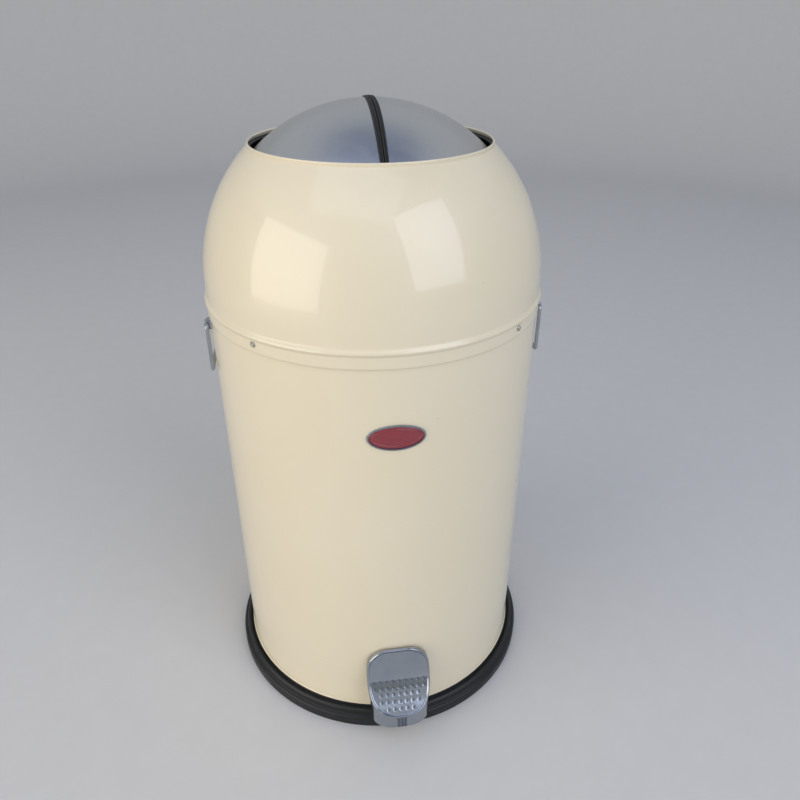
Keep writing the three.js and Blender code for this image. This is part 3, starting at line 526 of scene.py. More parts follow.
handle_wire = 2
handle_half = 38
handle_drop = 51
handle_stand_off = 1.2
handle_bow = handle_wire + 0.4 - handle_stand_off
handle_x = body_radius + handle_stand_off
handle_pivot = joints["left_handle_swing"]["pos_m"][2] * 1000
lug_low, lug_high = span("handle_bracket_right_rear")

for side_name, side in (("left", -1), ("right", 1)):
    corner = 2 * handle_wire
    path = [(-lug_low.y - 1, 0)]
    path += arc((-handle_half + corner, -corner), corner, 90, 180, 10)
    path += arc((-handle_half + corner, -handle_drop + corner), corner, 180, 270, 10)
    path += arc((handle_half - corner, -handle_drop + corner), corner, 270, 360, 10)
    path += arc((handle_half - corner, -corner), corner, 0, 90, 10)
    path += [(lug_low.y + 1, 0)]
    bar = [-handle_half + corner + (handle_half - corner) * step / 8 for step in range(1, 16)]
    path = path[:23] + [(y, -handle_drop) for y in bar] + path[23:]
    loop = []
    for y, z in path:
        bow = handle_bow * (1 - (y / handle_half) ** 2) * (z < -0.9 * handle_drop)
        loop.append((side * (handle_x + bow), y, handle_pivot + z))
    wire = swept(loop, handle_wire, 20)
    make_piece(
        f"{side_name}_wire_handle", wire, chrome_plate, f"side_handle_{side_name}", "chrome",
        f"{side_name}_handle",
    )
    for end_name, end in (("front", -1), ("rear", 1)):
        nose = lug_high.x - handle_x
        outline = [(body_radius - 1, lug_low.z), (handle_x - 1, lug_low.z)]
        outline += arc((handle_x, handle_pivot), nose, -55, 55, 14)
        outline += [(handle_x - 1, lug_high.z), (body_radius - 1, lug_high.z)]
        lug = plate(outline, lug_high.y - lug_low.y, 0.5)
        moved(lug, STAND_ALONG_Y, Matrix.Translation((0, lug_low.y, 0)))
        for vert in lug.verts:
            if vert.co.x < body_radius:
                vert.co.x = math.sqrt((body_radius + 0.3) ** 2 - vert.co.y**2)
        moved(lug, Matrix.Diagonal((side, end, 1, 1)))
        make_piece(
            f"{side_name}_{end_name}_handle_lug", lug, chrome_plate, "bin_body", "chrome",
            f"handle_bracket_{side_name}_{end_name}",
        )

# ---------------------------------------------------------------- pedal lever
# A lever of 6 mm flat steel turns on a pin under the false floor. A saddle of bent plate is
# welded to its front end and the foot pad is spot welded to that. Its rear end lifts the rod.

rod_low, rod_high = span("push_rod")
rod_y = (rod_low.y + rod_high.y) / 2
arm_bend = pedal_pivot.y - 92
saddle_line = [
    Vector((arm_low.y + 18.4, arm_high.z)), Vector((arm_low.y + 9.1, arm_high.z - 9.3)),
    Vector((arm_low.y, arm_high.z - 16.4)),
]
saddle_ways = [Vector((0.8, -0.6)), Vector((0.66, -0.75)), Vector((0.62, -0.78))]
weld_depth = 1.5
weld_line = [point + weld_depth * way for point, way in zip(saddle_line, saddle_ways)]
lever = plate(
    rounded(
        [
            (weld_line[2].x, arm_front_top - arm_height), (arm_bend, arm_front_top - arm_height),
            (pedal_pivot.y, pedal_pivot.z - 8), (arm_high.y, arm_low.z),
            (arm_high.y, arm_low.z + arm_height), (pedal_pivot.y, pedal_pivot.z + 8),
            (arm_bend + 4, arm_front_top), (weld_line[0].x + 9, arm_front_top),
            *[tuple(point) for point in weld_line],
        ],
        3,
    ),
    2 * arm_half, 0.6,
)
moved(lever, STAND_ALONG_X, Matrix.Translation((-arm_half, 0, 0)))
saddle_width = 32
saddle_thickness = 3
saddle_under = [point + saddle_thickness * way for point, way in zip(saddle_line, saddle_ways)]
saddle = plate([*saddle_line, *reversed(saddle_under)], saddle_width, 0.5)
add_to(lever, moved(saddle, STAND_ALONG_X, Matrix.Translation((-saddle_width / 2, 0, 0))))
make_piece("pedal_lever", lever, zinc_plate, "pedal", "zinc_plate", "pedal_arm")

# ---------------------------------------------------------------- foot pad
# The foot pad is pressed from chromed steel: dished down its length, with a bead round its
# edge, a turned-down skirt, and rows of small dimples on its lower half for grip.


def through(points, steps):
    """A smooth line through a list of points."""
    line = []
    for i in range(len(points) - 1):
        p0, p1 = Vector(points[max(i - 1, 0)]), Vector(points[i])
        p2, p3 = Vector(points[i + 1]), Vector(points[min(i + 2, len(points) - 1)])
        for step in range(steps):
            t = step / steps
            line.append(
                0.5
                * (
                    2 * p1
                    + (p2 - p0) * t
                    + (2 * p0 - 5 * p1 + 4 * p2 - p3) * t * t
                    + (3 * p1 - p0 - 3 * p2 + p3) * t * t * t
                )
            )
    return line + [Vector(points[-1])]


def read_off(line, at):
    """The second value of a smooth line where its first is at."""
    for (x0, y0), (x1, y1) in zip(line, line[1:]):
        if at <= x1:
            return y0 + (y1 - y0) * max(at - x0, 0) / max(x1 - x0, 1e-9)
    return line[-1][1]


pad_low, pad_high = span("pedal_pad")
pad_top_gap = 5
pad_tip_reach = 42
pad_tip_rise = 18.5
pad_top = Vector((0, -body_radius - pad_top_gap, pad_high.z))
pad_tip = Vector((0, -body_radius - pad_tip_reach, pad_low.z + pad_tip_rise))
chord = (pad_tip - pad_top).normalized()
outward = Vector((0, chord.z, -chord.y))

# Half widths across the pad, and its dish, against the distance down from its top edge.
half_widths = [
    (15, 0), (22, 2.5), (28, 6.5), (33, 12), (35.5, 20), (36.3, 32), (36, 46), (34.4, 56), (32, 62.5),
    (28.3, 68.3), (22.5, 73.6), (16, 76.7), (10, 78.3), (5.5, 78.9),
]
dish_depths = [
    (0, 0), (15, -5.8), (35, -11.3), (48, -11.1), (60, -7.5), (70.6, -2.9), (77, -0.4), (79, -0.5)
]
skirt_angles = [(0, 7), (40, 28), (52, 46), (60, 80), (66, 90), (79, 90)]
skirt_depths = [(0, 12.5), (57, 12.5), (64, 27), (79, 27)]

row_pitch = 0.7
pad_outline = through(half_widths, 18)
pad_rows = pad_outline[:1]
for spot in pad_outline:
    if (spot - pad_rows[-1]).length > row_pitch:
        pad_rows.append(spot)
pad_rows[-1] = pad_outline[-1]
pad_dish = through(dish_depths, 12)
pad_skirt_turn = [Vector(pair) for pair in skirt_angles]
pad_skirt_depth = [Vector(pair) for pair in skirt_depths]
row_count = len(pad_rows) - 1
column_count = 112
bead_width = 3.4
bead_height = 0.9
edge_round = 1.2
dimple_pitch = 7.2
dimple_radius = 2.2
dimple_depth = 0.4
first_dimple_row = 41

edge_points = [(side * width, down) for width, down in through(half_widths, 34) for side in (-1, 1)]
edge_points += [(across, half_widths[0][1]) for across in range(-15, 16)]
edge_points += [(across, half_widths[-1][1]) for across in range(-5, 6)]
edge_places = KDTree(len(edge_points))
for number, (across, down) in enumerate(edge_points):
    edge_places.insert((across, down, 0), number)
edge_places.balance()


def from_edge(across, down):
    """Distance of a point on the pad's face from its outline."""
    return edge_places.find((across, down, 0))[2]


def in_dimple(across, down):
    """How deep in a dimple a point of the face lies, from 0 at its edge to 1 at its middle."""
    column = dimple_pitch * round(across / dimple_pitch)
    row_number = max(round((down - first_dimple_row) / dimple_pitch), 0)
    row = first_dimple_row + dimple_pitch * row_number
    if from_edge(column, row) < bead_width + dimple_radius:
        return 0
    share = math.hypot(across - column, down - row) / dimple_radius
    return max(1 - share**2, 0) ** 1.5


def pad_relief(across, down):
    """Height of the pad's face over its dished sheet: rounded edge, bead and dimples."""
    inset = from_edge(across, down)
    height = -bead_height
    if inset < bead_width:
        height += bead_height * math.sin(math.pi * inset / bead_width) ** 2
    if inset < edge_round:
        height -= edge_round - math.sqrt(edge_round**2 - (edge_round - inset) ** 2)
    return height - dimple_depth * in_dimple(across, down)


pad = bmesh.new()
bmesh.ops.create_grid(pad, x_segments=column_count, y_segments=row_count, size=1)
# Painted shade: each vertex records how deep in a dimple it lies, and the chrome is darkened there as
# shade in the hollows.
soiling = pad.verts.layers.float.new("soiling")
flat_places = {}
for vert in pad.verts:
    half_width, down = pad_rows[round((1 - vert.co.y) / 2 * row_count)]
    across = half_width * vert.co.x * (1.35 - 0.35 * vert.co.x**2)
    flat_places[vert] = (across, down)
for vert, (across, down) in flat_places.items():
    lift = read_off(pad_dish, down) + pad_relief(across, down)
    vert[soiling] = in_dimple(across, down)
    vert.co = pad_top + chord * down + outward * lift + Vector((across, 0, 0))

skirt_steps = 5
pad_wall = 1.1
pad_body_gap = 1.9
rim_verts = [vert for vert in pad.verts if vert.is_boundary]
rim_lines = [line for line in pad.edges if line.is_boundary]
ways = []
for vert in rim_verts:
    across, down = flat_places[vert]
    turn = math.radians(read_off(pad_skirt_turn, down))
    way = Vector((0, math.cos(turn), -math.sin(turn)))
    wall_y = -math.sqrt((body_radius + pad_body_gap) ** 2 - vert.co.x**2)
    room = [read_off(pad_skirt_depth, down), (vert.co.z - pad_low.z - 0.3) / max(way.z * -1, 0.05)]
    room.append((wall_y - vert.co.y) / max(way.y, 0.05))
    ways.append((vert.co.copy(), way * max(min(room), 1) / skirt_steps))
for step in range(skirt_steps):
    new_verts, rim_lines = extruded(pad, rim_lines)
    starts = KDTree(len(ways))
    for number, (start, way) in enumerate(ways):
        starts.insert(start, number)
    starts.balance()
    for vert in new_verts:
        vert.co = vert.co + ways[starts.find(vert.co)[1]][1]
    ways = [(start + way, way) for start, way in ways]
bmesh.ops.recalc_face_normals(pad, faces=pad.faces)
middle_face = min(pad.faces, key=lambda face: (face.calc_center_median() - pad_top - 20 * chord).length)
if middle_face.normal.dot(outward) < 0:
    bmesh.ops.reverse_faces(pad, faces=pad.faces)
foot_pad = make_piece("foot_pad", pad, chrome_plate, "pedal", "chrome", "pedal_pad", sharp=60)
pad_sheet = foot_pad.modifiers.new("sheet", "SOLIDIFY")
pad_sheet.thickness = pad_wall / 1000
pad_sheet.offset = -1

# ---------------------------------------------------------------- push rod and rollers
# A round steel rod stands on the lever's rear end and carries a fork of 5 mm plate. Each of
# the fork's pins has a nylon roller that pushes the crank of one leaf upwards.

# Natural nylon: milky, slightly translucent, with a smooth moulded skin.
nylon, tree, place, surface = start_material("natural_nylon")
milk = add_node(tree, "TexNoise", {"Scale": 300, "Detail": 3}, {"Vector": place})
nylon_tone = add_node(
    tree, "Mix", {"data_type": "RGBA", 6: linear("D3D0C4"), 7: linear("E1DFD6")}, {0: milk}
)
nylon_gloss = add_node(tree, "MapRange", {3: 0.38, 4: 0.55}, {0: milk})
set_node(
    surface, {"IOR": 1.53, "Subsurface Weight": 0.15, "Subsurface Scale": 0.002},
    {"Base Color": nylon_tone.outputs[2], "Roughness": nylon_gloss},
)


def bar_outline(radius, start, end, edge, steps):
    """Half section of a solid bar, out from its axis and back, with its edges broken."""
    corners = rounded([(0, start), (radius, start), (radius, end), (0, end)], edge, steps)
    return [(0, start), *corners[steps + 1 : 3 * steps + 3], (0, end)]


def turned_bar(radius, start, end, edge=0.5, bore=0, steps=40):
    """A turned bar or bush along Y between two depths, with its edges broken."""
    outline = bar_outline(radius, start, end, edge, 3)
    if bore > 0:
        outline = rounded([(bore, start), (radius, start), (radius, end), (bore, end)], edge, 3)
    return moved(spun(outline, steps), STAND_ALONG_Y)


rod_radius = 4
rod = spun(bar_outline(rod_radius, rod_low.z, rod_high.z, 1, 4), 40)
moved(rod, Matrix.Translation((0, rod_y, 0)))
make_piece("push_rod_turned", rod, zinc_plate, "lift_rod", "zinc_plate", "push_rod")

fork_low, fork_high = span("rod_fork")
roller_spans = {name: span(f"roller_{name}") for name in ("left", "right")}
roller_z = joints["left_roller_spin"]["pos_m"][2] * 1000
crank_reach = 25
prong = 5
fork_thickness = 5
fork_crown = 11
roller_radius = 5
roller_pin_radius = 2
roller_bore = 2.35
fork_front = rod_y - fork_thickness / 2
fork = plate(
    rounded(
        [
            (-crank_reach - prong, fork_low.z), (crank_reach + prong, fork_low.z),
            (crank_reach + prong, fork_high.z), (crank_reach - prong, fork_high.z),
            (crank_reach - prong, fork_low.z + fork_crown),
            (-crank_reach + prong, fork_low.z + fork_crown), (-crank_reach + prong, fork_high.z),
            (-crank_reach - prong, fork_high.z),
        ],
        4,
    ),
    fork_thickness, 0.5,
)
moved(fork, STAND_ALONG_Y, Matrix.Translation((0, fork_front, 0)))
for name, side in (("left", -1), ("right", 1)):
    pin = turned_bar(roller_pin_radius, roller_spans[name][0].y, rod_y)
    add_to(fork, moved(pin, Matrix.Translation((side * crank_reach, 0, roller_z))))
make_piece("rod_fork_plate", fork, zinc_plate, "lift_rod", "zinc_plate", "rod_fork")

for name, side in (("left", -1), ("right", 1)):
    low, high = roller_spans[name]
    roller = turned_bar(roller_radius, low.y, high.y, 0.5, roller_bore, 48)
    moved(roller, Matrix.Translation((side * crank_reach, 0, roller_z)))
    make_piece(f"{name}_nylon_roller", roller, nylon, f"{name}_roller", "nylon", f"roller_{name}")

# ---------------------------------------------------------------- bucket
# The loose bucket is drawn from galvanised sheet, with a raised foot, two stiffening swages
# and a rim rolled over a wire. A folded lug is spot welded under the rim at each side.

bucket_low, bucket_high = span("bucket")
bucket_foot, bucket_top = bucket_low.z, bucket_high.z
bucket_rim = bucket_high.x
bucket_radius = bucket_rim - 2.5
bucket_foot_radius = bucket_radius - 4
bucket_wall = 0.8


def bucket_at(height):
    """Outer radius of the bucket's tapered wall."""
    share = (height - bucket_foot) / (bucket_top - 6 - bucket_foot)
    return bucket_foot_radius + (bucket_radius - bucket_foot_radius) * share


swages = (bucket_foot + 70, bucket_top - 90)
swage_rise = 1.1
swage_width = 9
wall_heights = [bucket_foot + 8]
for swage in swages:
    wall_heights += [swage + 0.75 * step for step in range(-6, 7)]
wall_heights.append(bucket_top - 8)
bucket_outside = []
for height in wall_heights:
    bulge = 0
    for swage in swages:
        if abs(height - swage) < swage_width / 2:
            bulge = swage_rise * math.cos(math.pi * (height - swage) / swage_width) ** 2
    bucket_outside.append((bucket_at(height) + bulge, height))
bucket_inside = [(radius - bucket_wall, height) for radius, height in reversed(bucket_outside)]
bucket_roll = 2.3
roll = arc((bucket_radius + 0.2, bucket_top - bucket_roll), bucket_roll, -120, 150, 14)
bucket_outline = [
    (0, bucket_foot + 4), (bucket_foot_radius - 6, bucket_foot + 4),
    (bucket_foot_radius - 4.4, bucket_foot + 3.2), (bucket_foot_radius - 3.6, bucket_foot + 0.8),
    (bucket_foot_radius - 2.6, bucket_foot), (bucket_foot_radius - 1, bucket_foot),
    (bucket_foot_radius, bucket_foot + 1), *bucket_outside, *roll, *bucket_inside,
    (bucket_foot_radius - bucket_wall - 0.3, bucket_foot + 7),
    (bucket_foot_radius - bucket_wall - 1.6, bucket_foot + 5.4),
    (bucket_foot_radius - bucket_wall - 4, bucket_foot + 4.9), (0, bucket_foot + 4.9),
]
make_piece("bucket_shell", spun(bucket_outline), galvanised, "inner_bucket", "galvanised", "bucket")

ear_low, ear_high = span("bucket_ear_right")
for side_name, side in (("left", -1), ("right", 1)):
    fold = [
        (ear_low.x, -13), (ear_high.x, -12), (ear_high.x, 12), (ear_low.x, 13), (ear_low.x, 9),
        (ear_high.x - 1.6, 8.5), (ear_high.x - 1.6, -8.5), (ear_low.x, -9),
    ]
    ear = plate(rounded(fold, 1.2), ear_high.z - ear_low.z, 0.3, 2)
    moved(ear, Matrix.Translation((0, 0, ear_low.z)), Matrix.Diagonal((side, 1, 1, 1)))
    make_piece(
        f"{side_name}_bail_lug", ear, galvanised, "inner_bucket", "galvanised",
        f"bucket_ear_{side_name}",
    )

# ---------------------------------------------------------------- bail
# The bucket's bail is 5 mm zinc plated wire with its ends hooked into the lugs, and a ribbed
# black plastic grip moulded round its middle. At rest it lies forward on the bucket's wall.

bail_pivot = joints["bail_swing"]["pos_m"][2] * 1000
bail_wire = 2.5
bail_half_span = span("bucket_bail")[1].x - bail_wire
bail_drop = math.radians(10)
bail_leg = 40
bail_length = bail_half_span + 9.7
hook_end = ear_low.x + 1.2


def bail_point(angle, leg=bail_leg):
    """A point on the bail's oval, at an angle from its right pivot."""
    reach = leg + (bail_length - bail_leg) * math.sin(angle)
    across = bail_half_span * math.cos(angle)
    return (across, -reach * math.cos(bail_drop), bail_pivot - reach * math.sin(bail_drop))


bail_path = [(hook_end, 0, bail_pivot), (bail_half_span - 3, 0, bail_pivot)]
bail_path += [bail_point(0, leg) for leg in (3, 8, 16, 28)]
bail_path += [bail_point(math.pi * step / 60) for step in range(61)]
bail_path += [bail_point(math.pi, leg) for leg in (28, 16, 8, 3)]
bail_path += [(3 - bail_half_span, 0, bail_pivot), (-hook_end, 0, bail_pivot)]
make_piece("bail_wire", swept(bail_path, bail_wire, 20), zinc_plate, "bail", "zinc_plate", "bucket_bail")

grip_steps = 96
grip_span = math.radians(36)
grip_ribs = 12
grip_path = []
grip_radii = []
for step in range(grip_steps + 1):
    t = step / grip_steps
    grip_path.append(bail_point(math.pi / 2 + grip_span * (t - 0.5)))
    rib = 0.5 * abs(math.sin(math.pi * grip_ribs * t))
    end_round = 1 - max(0, 1 - 20 * min(t, 1 - t)) ** 2
    grip_radii.append(2.7 + 2.2 * math.sqrt(max(end_round, 0)) - rib * end_round)
grip = swept(grip_path, grip_radii, 24)
make_piece("bail_grip_moulding", grip, black_plastic, "bail", "black_plastic", "bail_grip")

# ---------------------------------------------------------------- head shell
# The head is spun from one disc of steel: a skirt that hangs over the body's top edge, a
# half-round bead, a dome, and a rim rolled outwards round the opening. It is enamelled cream
# outside and black inside.

# Black stoving enamel inside the head: semi-matt, with a slight texture from spraying.
black_enamel, tree, place, surface = start_material("black_stoving_enamel")
spray = add_node(tree, "TexNoise", {"Scale": 500, "Detail": 3}, {"Vector": place})
cloud = add_node(tree, "TexNoise", {"Scale": 20, "Detail": 4}, {"Vector": place})
black_tone = add_node(
    tree, "Mix", {"data_type": "RGBA", 6: linear("121314"), 7: linear("202122")}, {0: cloud}
)
black_gloss = add_node(tree, "MapRange", {3: 0.42, 4: 0.62}, {0: cloud})
black_skin = add_node(tree, "Bump", {"Strength": 0.2, "Distance": 0.0002}, {"Height": spray})
set_node(
    surface, {"IOR": 1.5},
    {"Base Color": black_tone.outputs[2], "Roughness": black_gloss, "Normal": black_skin},
)

head_low, head_high = span("head_shell")
dome_z = joints["left_leaf_open"]["pos_m"][2] * 1000
head_wall = 0.9
dome_radius = body_radius + 0.5
skirt_radius = body_radius + 0.6 + head_wall
skirt_bottom = head_low.z
bead_z = skirt_bottom + 15.7
bead_rise = 2.1
opening_radius = 118.6
roll_radius = 1.1
roll_ring = opening_radius + roll_radius
roll_z = head_high.z - roll_radius
dome_end = math.degrees(math.acos((roll_ring + 0.8) / dome_radius))

bead = []
for step in range(-10, 11):
    offset = 0.4 * step
    share = math.cos(math.pi * offset / 8) ** 1.6 if abs(step) < 10 else 0
    base = skirt_radius - (skirt_radius - dome_radius) * (step + 10) / 20
    bead.append((base + (bead_rise - 0.1) * share, bead_z + offset))
head_outside = [
    (skirt_radius - 0.25, skirt_bottom), (skirt_radius, skirt_bottom + 0.3),
    (skirt_radius, skirt_bottom + 2), (skirt_radius, bead_z - 4.4), *bead, (dome_radius, bead_z + 5.5),
    *arc((0, dome_z), dome_radius, 0, dome_end, 44),
]
head_roll = arc((roll_ring, roll_z), roll_radius, -25, 210, 14)
head_inside = [
    *arc((0, dome_z), dome_radius - head_wall, dome_end, 0, 44),
    (dome_radius - head_wall, bead_z + 5.5),
    *[(radius - head_wall, height) for radius, height in reversed(bead)],
    (skirt_radius - head_wall, bead_z - 4.4), (skirt_radius - head_wall, skirt_bottom + 0.3),
    (skirt_radius - head_wall + 0.25, skirt_bottom),
]
head = spun(head_outside + head_roll + head_inside, 240)
head_piece = make_piece("head_dome", head, cream_enamel, "head", "cream_enamel", "head_shell", sharp=50)
head_piece.data.materials.append(black_enamel)
for face in head_piece.data.polygons:
    middle = face.center * 1000
    inward = face.normal.dot(Vector((middle.x, middle.y, max(middle.z - dome_z, 0))).normalized())
    near_rim = middle.z > roll_z - 3 and math.hypot(middle.x, middle.y) < roll_ring + 3
    if inward < -0.3 and not near_rim:
        face.material_index = 1

# ---------------------------------------------------------------- collar, liner and band screws
# Inside the skirt a black moulded collar rests on the body's edge and centres the head, held
# by four small cross-recess screws. A black moulded lip lines the underside of the opening.

seat = body_top + 0.3
collar = spun(
    rounded(
        [
            (body_inner - 2.3, seat - 16), (body_inner - 0.8, seat - 16), (body_inner - 0.8, seat),
            (skirt_radius - head_wall - 0.3, seat), (skirt_radius - head_wall - 0.3, bead_z - 3),
            (body_inner - 2.3, bead_z - 3),
        ],
        0.5,
    ),
)
make_piece("head_collar_moulding", collar, black_plastic, "head", "black_plastic", "head_collar")

liner_outer = dome_radius - head_wall - 0.5
liner_inner = liner_outer - 2.4
liner_outline = arc((0, dome_z), liner_outer, dome_end - 8, dome_end, 8)
liner_outline += arc((0, dome_z), liner_inner, dome_end, dome_end - 8, 8)
liner = spun(liner_outline)
make_piece("opening_liner", liner, black_plastic, "head", "black_plastic", "rim_liner")

screw_z = skirt_bottom + 8.6
screw_head = 2.9
slot_width = 0.84
slot_depth = 0.7
for number in (1, 2, 3, 4):
    outline = [(0, -4), (1.5, -4), (1.5, 0), (screw_head - 0.2, 0), (screw_head, 0.3)]
    outline += [(2.7, 0.8), (2.2, 1.35), (1.4, 1.7), (0.6, 1.8), (0, 1.8)]
    screw = spun(outline, 32)
    crossed = []
    for face in screw.faces:
        middle = face.calc_center_median()
        narrow = min(abs(middle.x), abs(middle.y)) < slot_width / 2
        if middle.z > 1 and narrow and middle.xy.length < 1.6:
            crossed.append(face)
    sunk = {vert for face in crossed for vert in face.verts}
    for vert in sunk:
        vert.co.z -= slot_depth
    lean = Matrix.Rotation(math.radians(90), 4, "Y")
    out = Matrix.Translation((skirt_radius + 0.15, 0, screw_z))
    round_head = Matrix.Rotation(math.radians(90 * number - 45), 4, "Z")
    moved(screw, lean, out, round_head)
    make_piece(
        f"band_screw_turned_{number}", screw, zinc_plate, "head", "zinc_plate", f"band_screw_{number}"
    )

# ---------------------------------------------------------------- leaf pivots
# At the front and the rear of the head a flanged steel boss is spot welded inside the dome
# and holds a shouldered pin. Both leaves turn on the two pins, and a coil on the front pin
# swings them shut.

for end_name, end in (("front", -1), ("rear", 1)):
    low, high = span(f"leaf_bracket_{end_name}")
    far = max(abs(low.y), abs(high.y))
    near = min(abs(low.y), abs(high.y))
    flange_outline = rounded([(-15, -12), (15, -12), (15, 12), (-15, 12)], 4)
    bracket = moved(plate(flange_outline, 2, 0.4), STAND_ALONG_Y, Matrix.Translation((0, far - 2, 0)))
    add_to(bracket, turned_bar(7, near, far - 1, 0.8, 3.35))
    half_turn = Matrix.Rotation(0 if end > 0 else math.pi, 4, "Z")
    moved(bracket, half_turn, Matrix.Translation((0, 0, dome_z)))
    make_piece(
        f"{end_name}_pin_boss", bracket, zinc_plate, "head", "zinc_plate", f"leaf_bracket_{end_name}"
    )
    low, high = span(f"leaf_pin_{end_name}")
    far = max(abs(low.y), abs(high.y))
    near = min(abs(low.y), abs(high.y))
    pin = turned_bar(3, near + 1, far, 0.4)
    add_to(pin, turned_bar(5, near, near + 2, 0.6))
    moved(pin, half_turn, Matrix.Translation((0, 0, dome_z)))
    make_piece(f"{end_name}_leaf_pivot", pin, zinc_plate, "head", "zinc_plate", f"leaf_pin_{end_name}")

low, high = span("leaf_closing_spring")
closing_wire = 0.8
closing_spring = coil(4.8, closing_wire, low.y + closing_wire, high.y - closing_wire, 3)
moved(closing_spring, STAND_ALONG_Y, Matrix.Translation((0, 0, dome_z)))
make_piece("leaf_return_coil", closing_spring, zinc_plate, "head", "zinc_plate", "leaf_closing_spring")

# ---------------------------------------------------------------- leaves
# Each leaf is a lune of 0.9 mm stainless sheet, stretched over a form and brushed to a satin
# finish along the seam. A black rubber edging with two ribs closes the seam, and a plate ear
# at each end hangs the leaf on its pins. The rear ears carry the cranks.

# Satin stainless steel: fine brush lines along the seam, a soft wide gloss, and smears
# left by fingers. Real lines are 0.05 mm apart, and are drawn at 0.7 mm so that they show.
satin_steel, tree, place, surface = start_material("brushed_stainless_steel")
along = add_node(tree, "Mapping", {"Scale": (1400, 60, 1400)}, {"Vector": place})
brush = add_node(tree, "TexNoise", {"Scale": 1, "Detail": 3}, {"Vector": along})
smear = add_node(tree, "TexNoise", {"Scale": 26, "Detail": 6, "Distortion": 0.7}, {"Vector": place})
steel_tone = add_node(
    tree, "Mix", {"data_type": "RGBA", 6: linear("BCBFC0"), 7: linear("CFD1D1")}, {0: brush}
)
brush_gloss = add_node(tree, "MapRange", {3: 0.3, 4: 0.4}, {0: brush})
smear_gloss = add_node(tree, "MapRange", {1: 0.4, 2: 0.75, 3: 0, 4: 0.1}, {0: smear})
steel_gloss = add_node(tree, "Math", {"operation": "ADD"}, {0: brush_gloss, 1: smear_gloss})
brush_height = add_node(tree, "Bump", {"Strength": 0.04, "Distance": 0.0001}, {"Height": brush})
set_node(
    surface, {"Metallic": 1},
    {"Base Color": steel_tone.outputs[2], "Roughness": steel_gloss, "Normal": brush_height},
)

# Black rubber edging: extruded, matt, a little bloomed with dust.
black_rubber, tree, place, surface = start_material("extruded_black_rubber")
bloom = add_node(tree, "TexNoise", {"Scale": 90, "Detail": 6}, {"Vector": place})
pores = add_node(tree, "TexNoise", {"Scale": 1100, "Detail": 2}, {"Vector": place})
rubber_tone = add_node(
    tree, "Mix", {"data_type": "RGBA", 6: linear("151516"), 7: linear("313130")}, {0: bloom}
)
rubber_gloss = add_node(tree, "MapRange", {3: 0.5, 4: 0.8}, {0: bloom})
rubber_skin = add_node(tree, "Bump", {"Strength": 0.3, "Distance": 0.0002}, {"Height": pores})
set_node(
    surface, {"IOR": 1.52},
    {"Base Color": rubber_tone.outputs[2], "Roughness": rubber_gloss, "Normal": rubber_skin},
)

leaf_radius = dome_radius - 7.9
leaf_wall = 0.9
leaf_span = math.radians(52)
leaf_high = span("right_leaf")[1]
leaf_end = math.asin(leaf_high.y / leaf_radius)
seam_gap = 0.3
seal_width = 4.6
seal_start = seam_gap / leaf_radius
seal_end = seal_start + seal_width / leaf_radius
leaf_start = seal_end + 0.3 / leaf_radius
seal_proud = 1.7
seal_depth = 2.2
hub_radius = 8
arm_half_width = 5
arm_tip_half_width = 9
crank_half_width = 4
crank_angle = 28
lean_angle = 8
lift_to_dome = Matrix.Translation((0, 0, dome_z))


def leaf_sheet(side):
    """The pressed sheet: a meridian arc swung about the fore-and-aft axis, then thickened."""
    mesh = bmesh.new()
    meridian = []
    for step in range(73):
        angle = leaf_end * (step / 36 - 1)
        meridian.append(mesh.verts.new((0, leaf_radius * math.sin(angle), leaf_radius * math.cos(angle))))
    lines = [mesh.edges.new(pair) for pair in zip(meridian, meridian[1:])]
    moved(mesh, Matrix.Rotation(side * leaf_start, 4, "Y"))
    swing = {"cent": (0, 0, 0), "axis": (0, 1, 0), "dvec": (0, 0, 0)}
    bmesh.ops.spin(
        mesh, geom=meridian + lines, angle=side * (leaf_span - leaf_start), steps=56, **swing
    )
    bmesh.ops.remove_doubles(mesh, verts=mesh.verts, dist=0.0005)
    bmesh.ops.recalc_face_normals(mesh, faces=mesh.faces)
    first = next(iter(mesh.faces))
    if first.normal.dot(first.calc_center_median()) < 0:
        bmesh.ops.reverse_faces(mesh, faces=mesh.faces)
    bmesh.ops.solidify(mesh, geom=list(mesh.faces), thickness=leaf_wall)
    return moved(mesh, lift_to_dome)


def seal_strip(side, end_angle):
    """The ribbed rubber section swung over the dome, narrowing with the lune it edges."""
    inner, outer = leaf_radius - seal_depth, leaf_radius + seal_proud
    section = [
        (seam_gap, inner), (seam_gap, outer - 1), (seam_gap + 0.3, outer - 0.3),
        (seam_gap + 0.9, outer), (seam_gap + 1.5, outer - 0.3), (seam_gap + 1.9, outer - 1.1),
        (seam_gap + 2.5, outer - 1.2), (seam_gap + 2.9, outer - 0.7), (seam_gap + 3.5, outer - 0.35),
        (seam_gap + 4.1, outer - 0.6), (seam_gap + seal_width, outer - 1.3),
        (seam_gap + seal_width, inner),
    ]
    mesh = bmesh.new()
    points = [mesh.verts.new((side * across, 0, up)) for across, up in section]
    lines = [mesh.edges.new(pair) for pair in zip(points, points[1:] + points[:1])]
    moved(mesh, Matrix.Rotation(-end_angle, 4, "X"))
    swing = {"cent": (0, 0, 0), "axis": (1, 0, 0), "dvec": (0, 0, 0)}
    bmesh.ops.spin(mesh, geom=points + lines, angle=2 * end_angle, steps=96, **swing)
    bmesh.ops.holes_fill(mesh, edges=mesh.edges, sides=len(section))
    for vert in mesh.verts:
        vert.co.x *= vert.co.z / math.hypot(vert.co.y, vert.co.z)
    return moved(mesh, lift_to_dome)


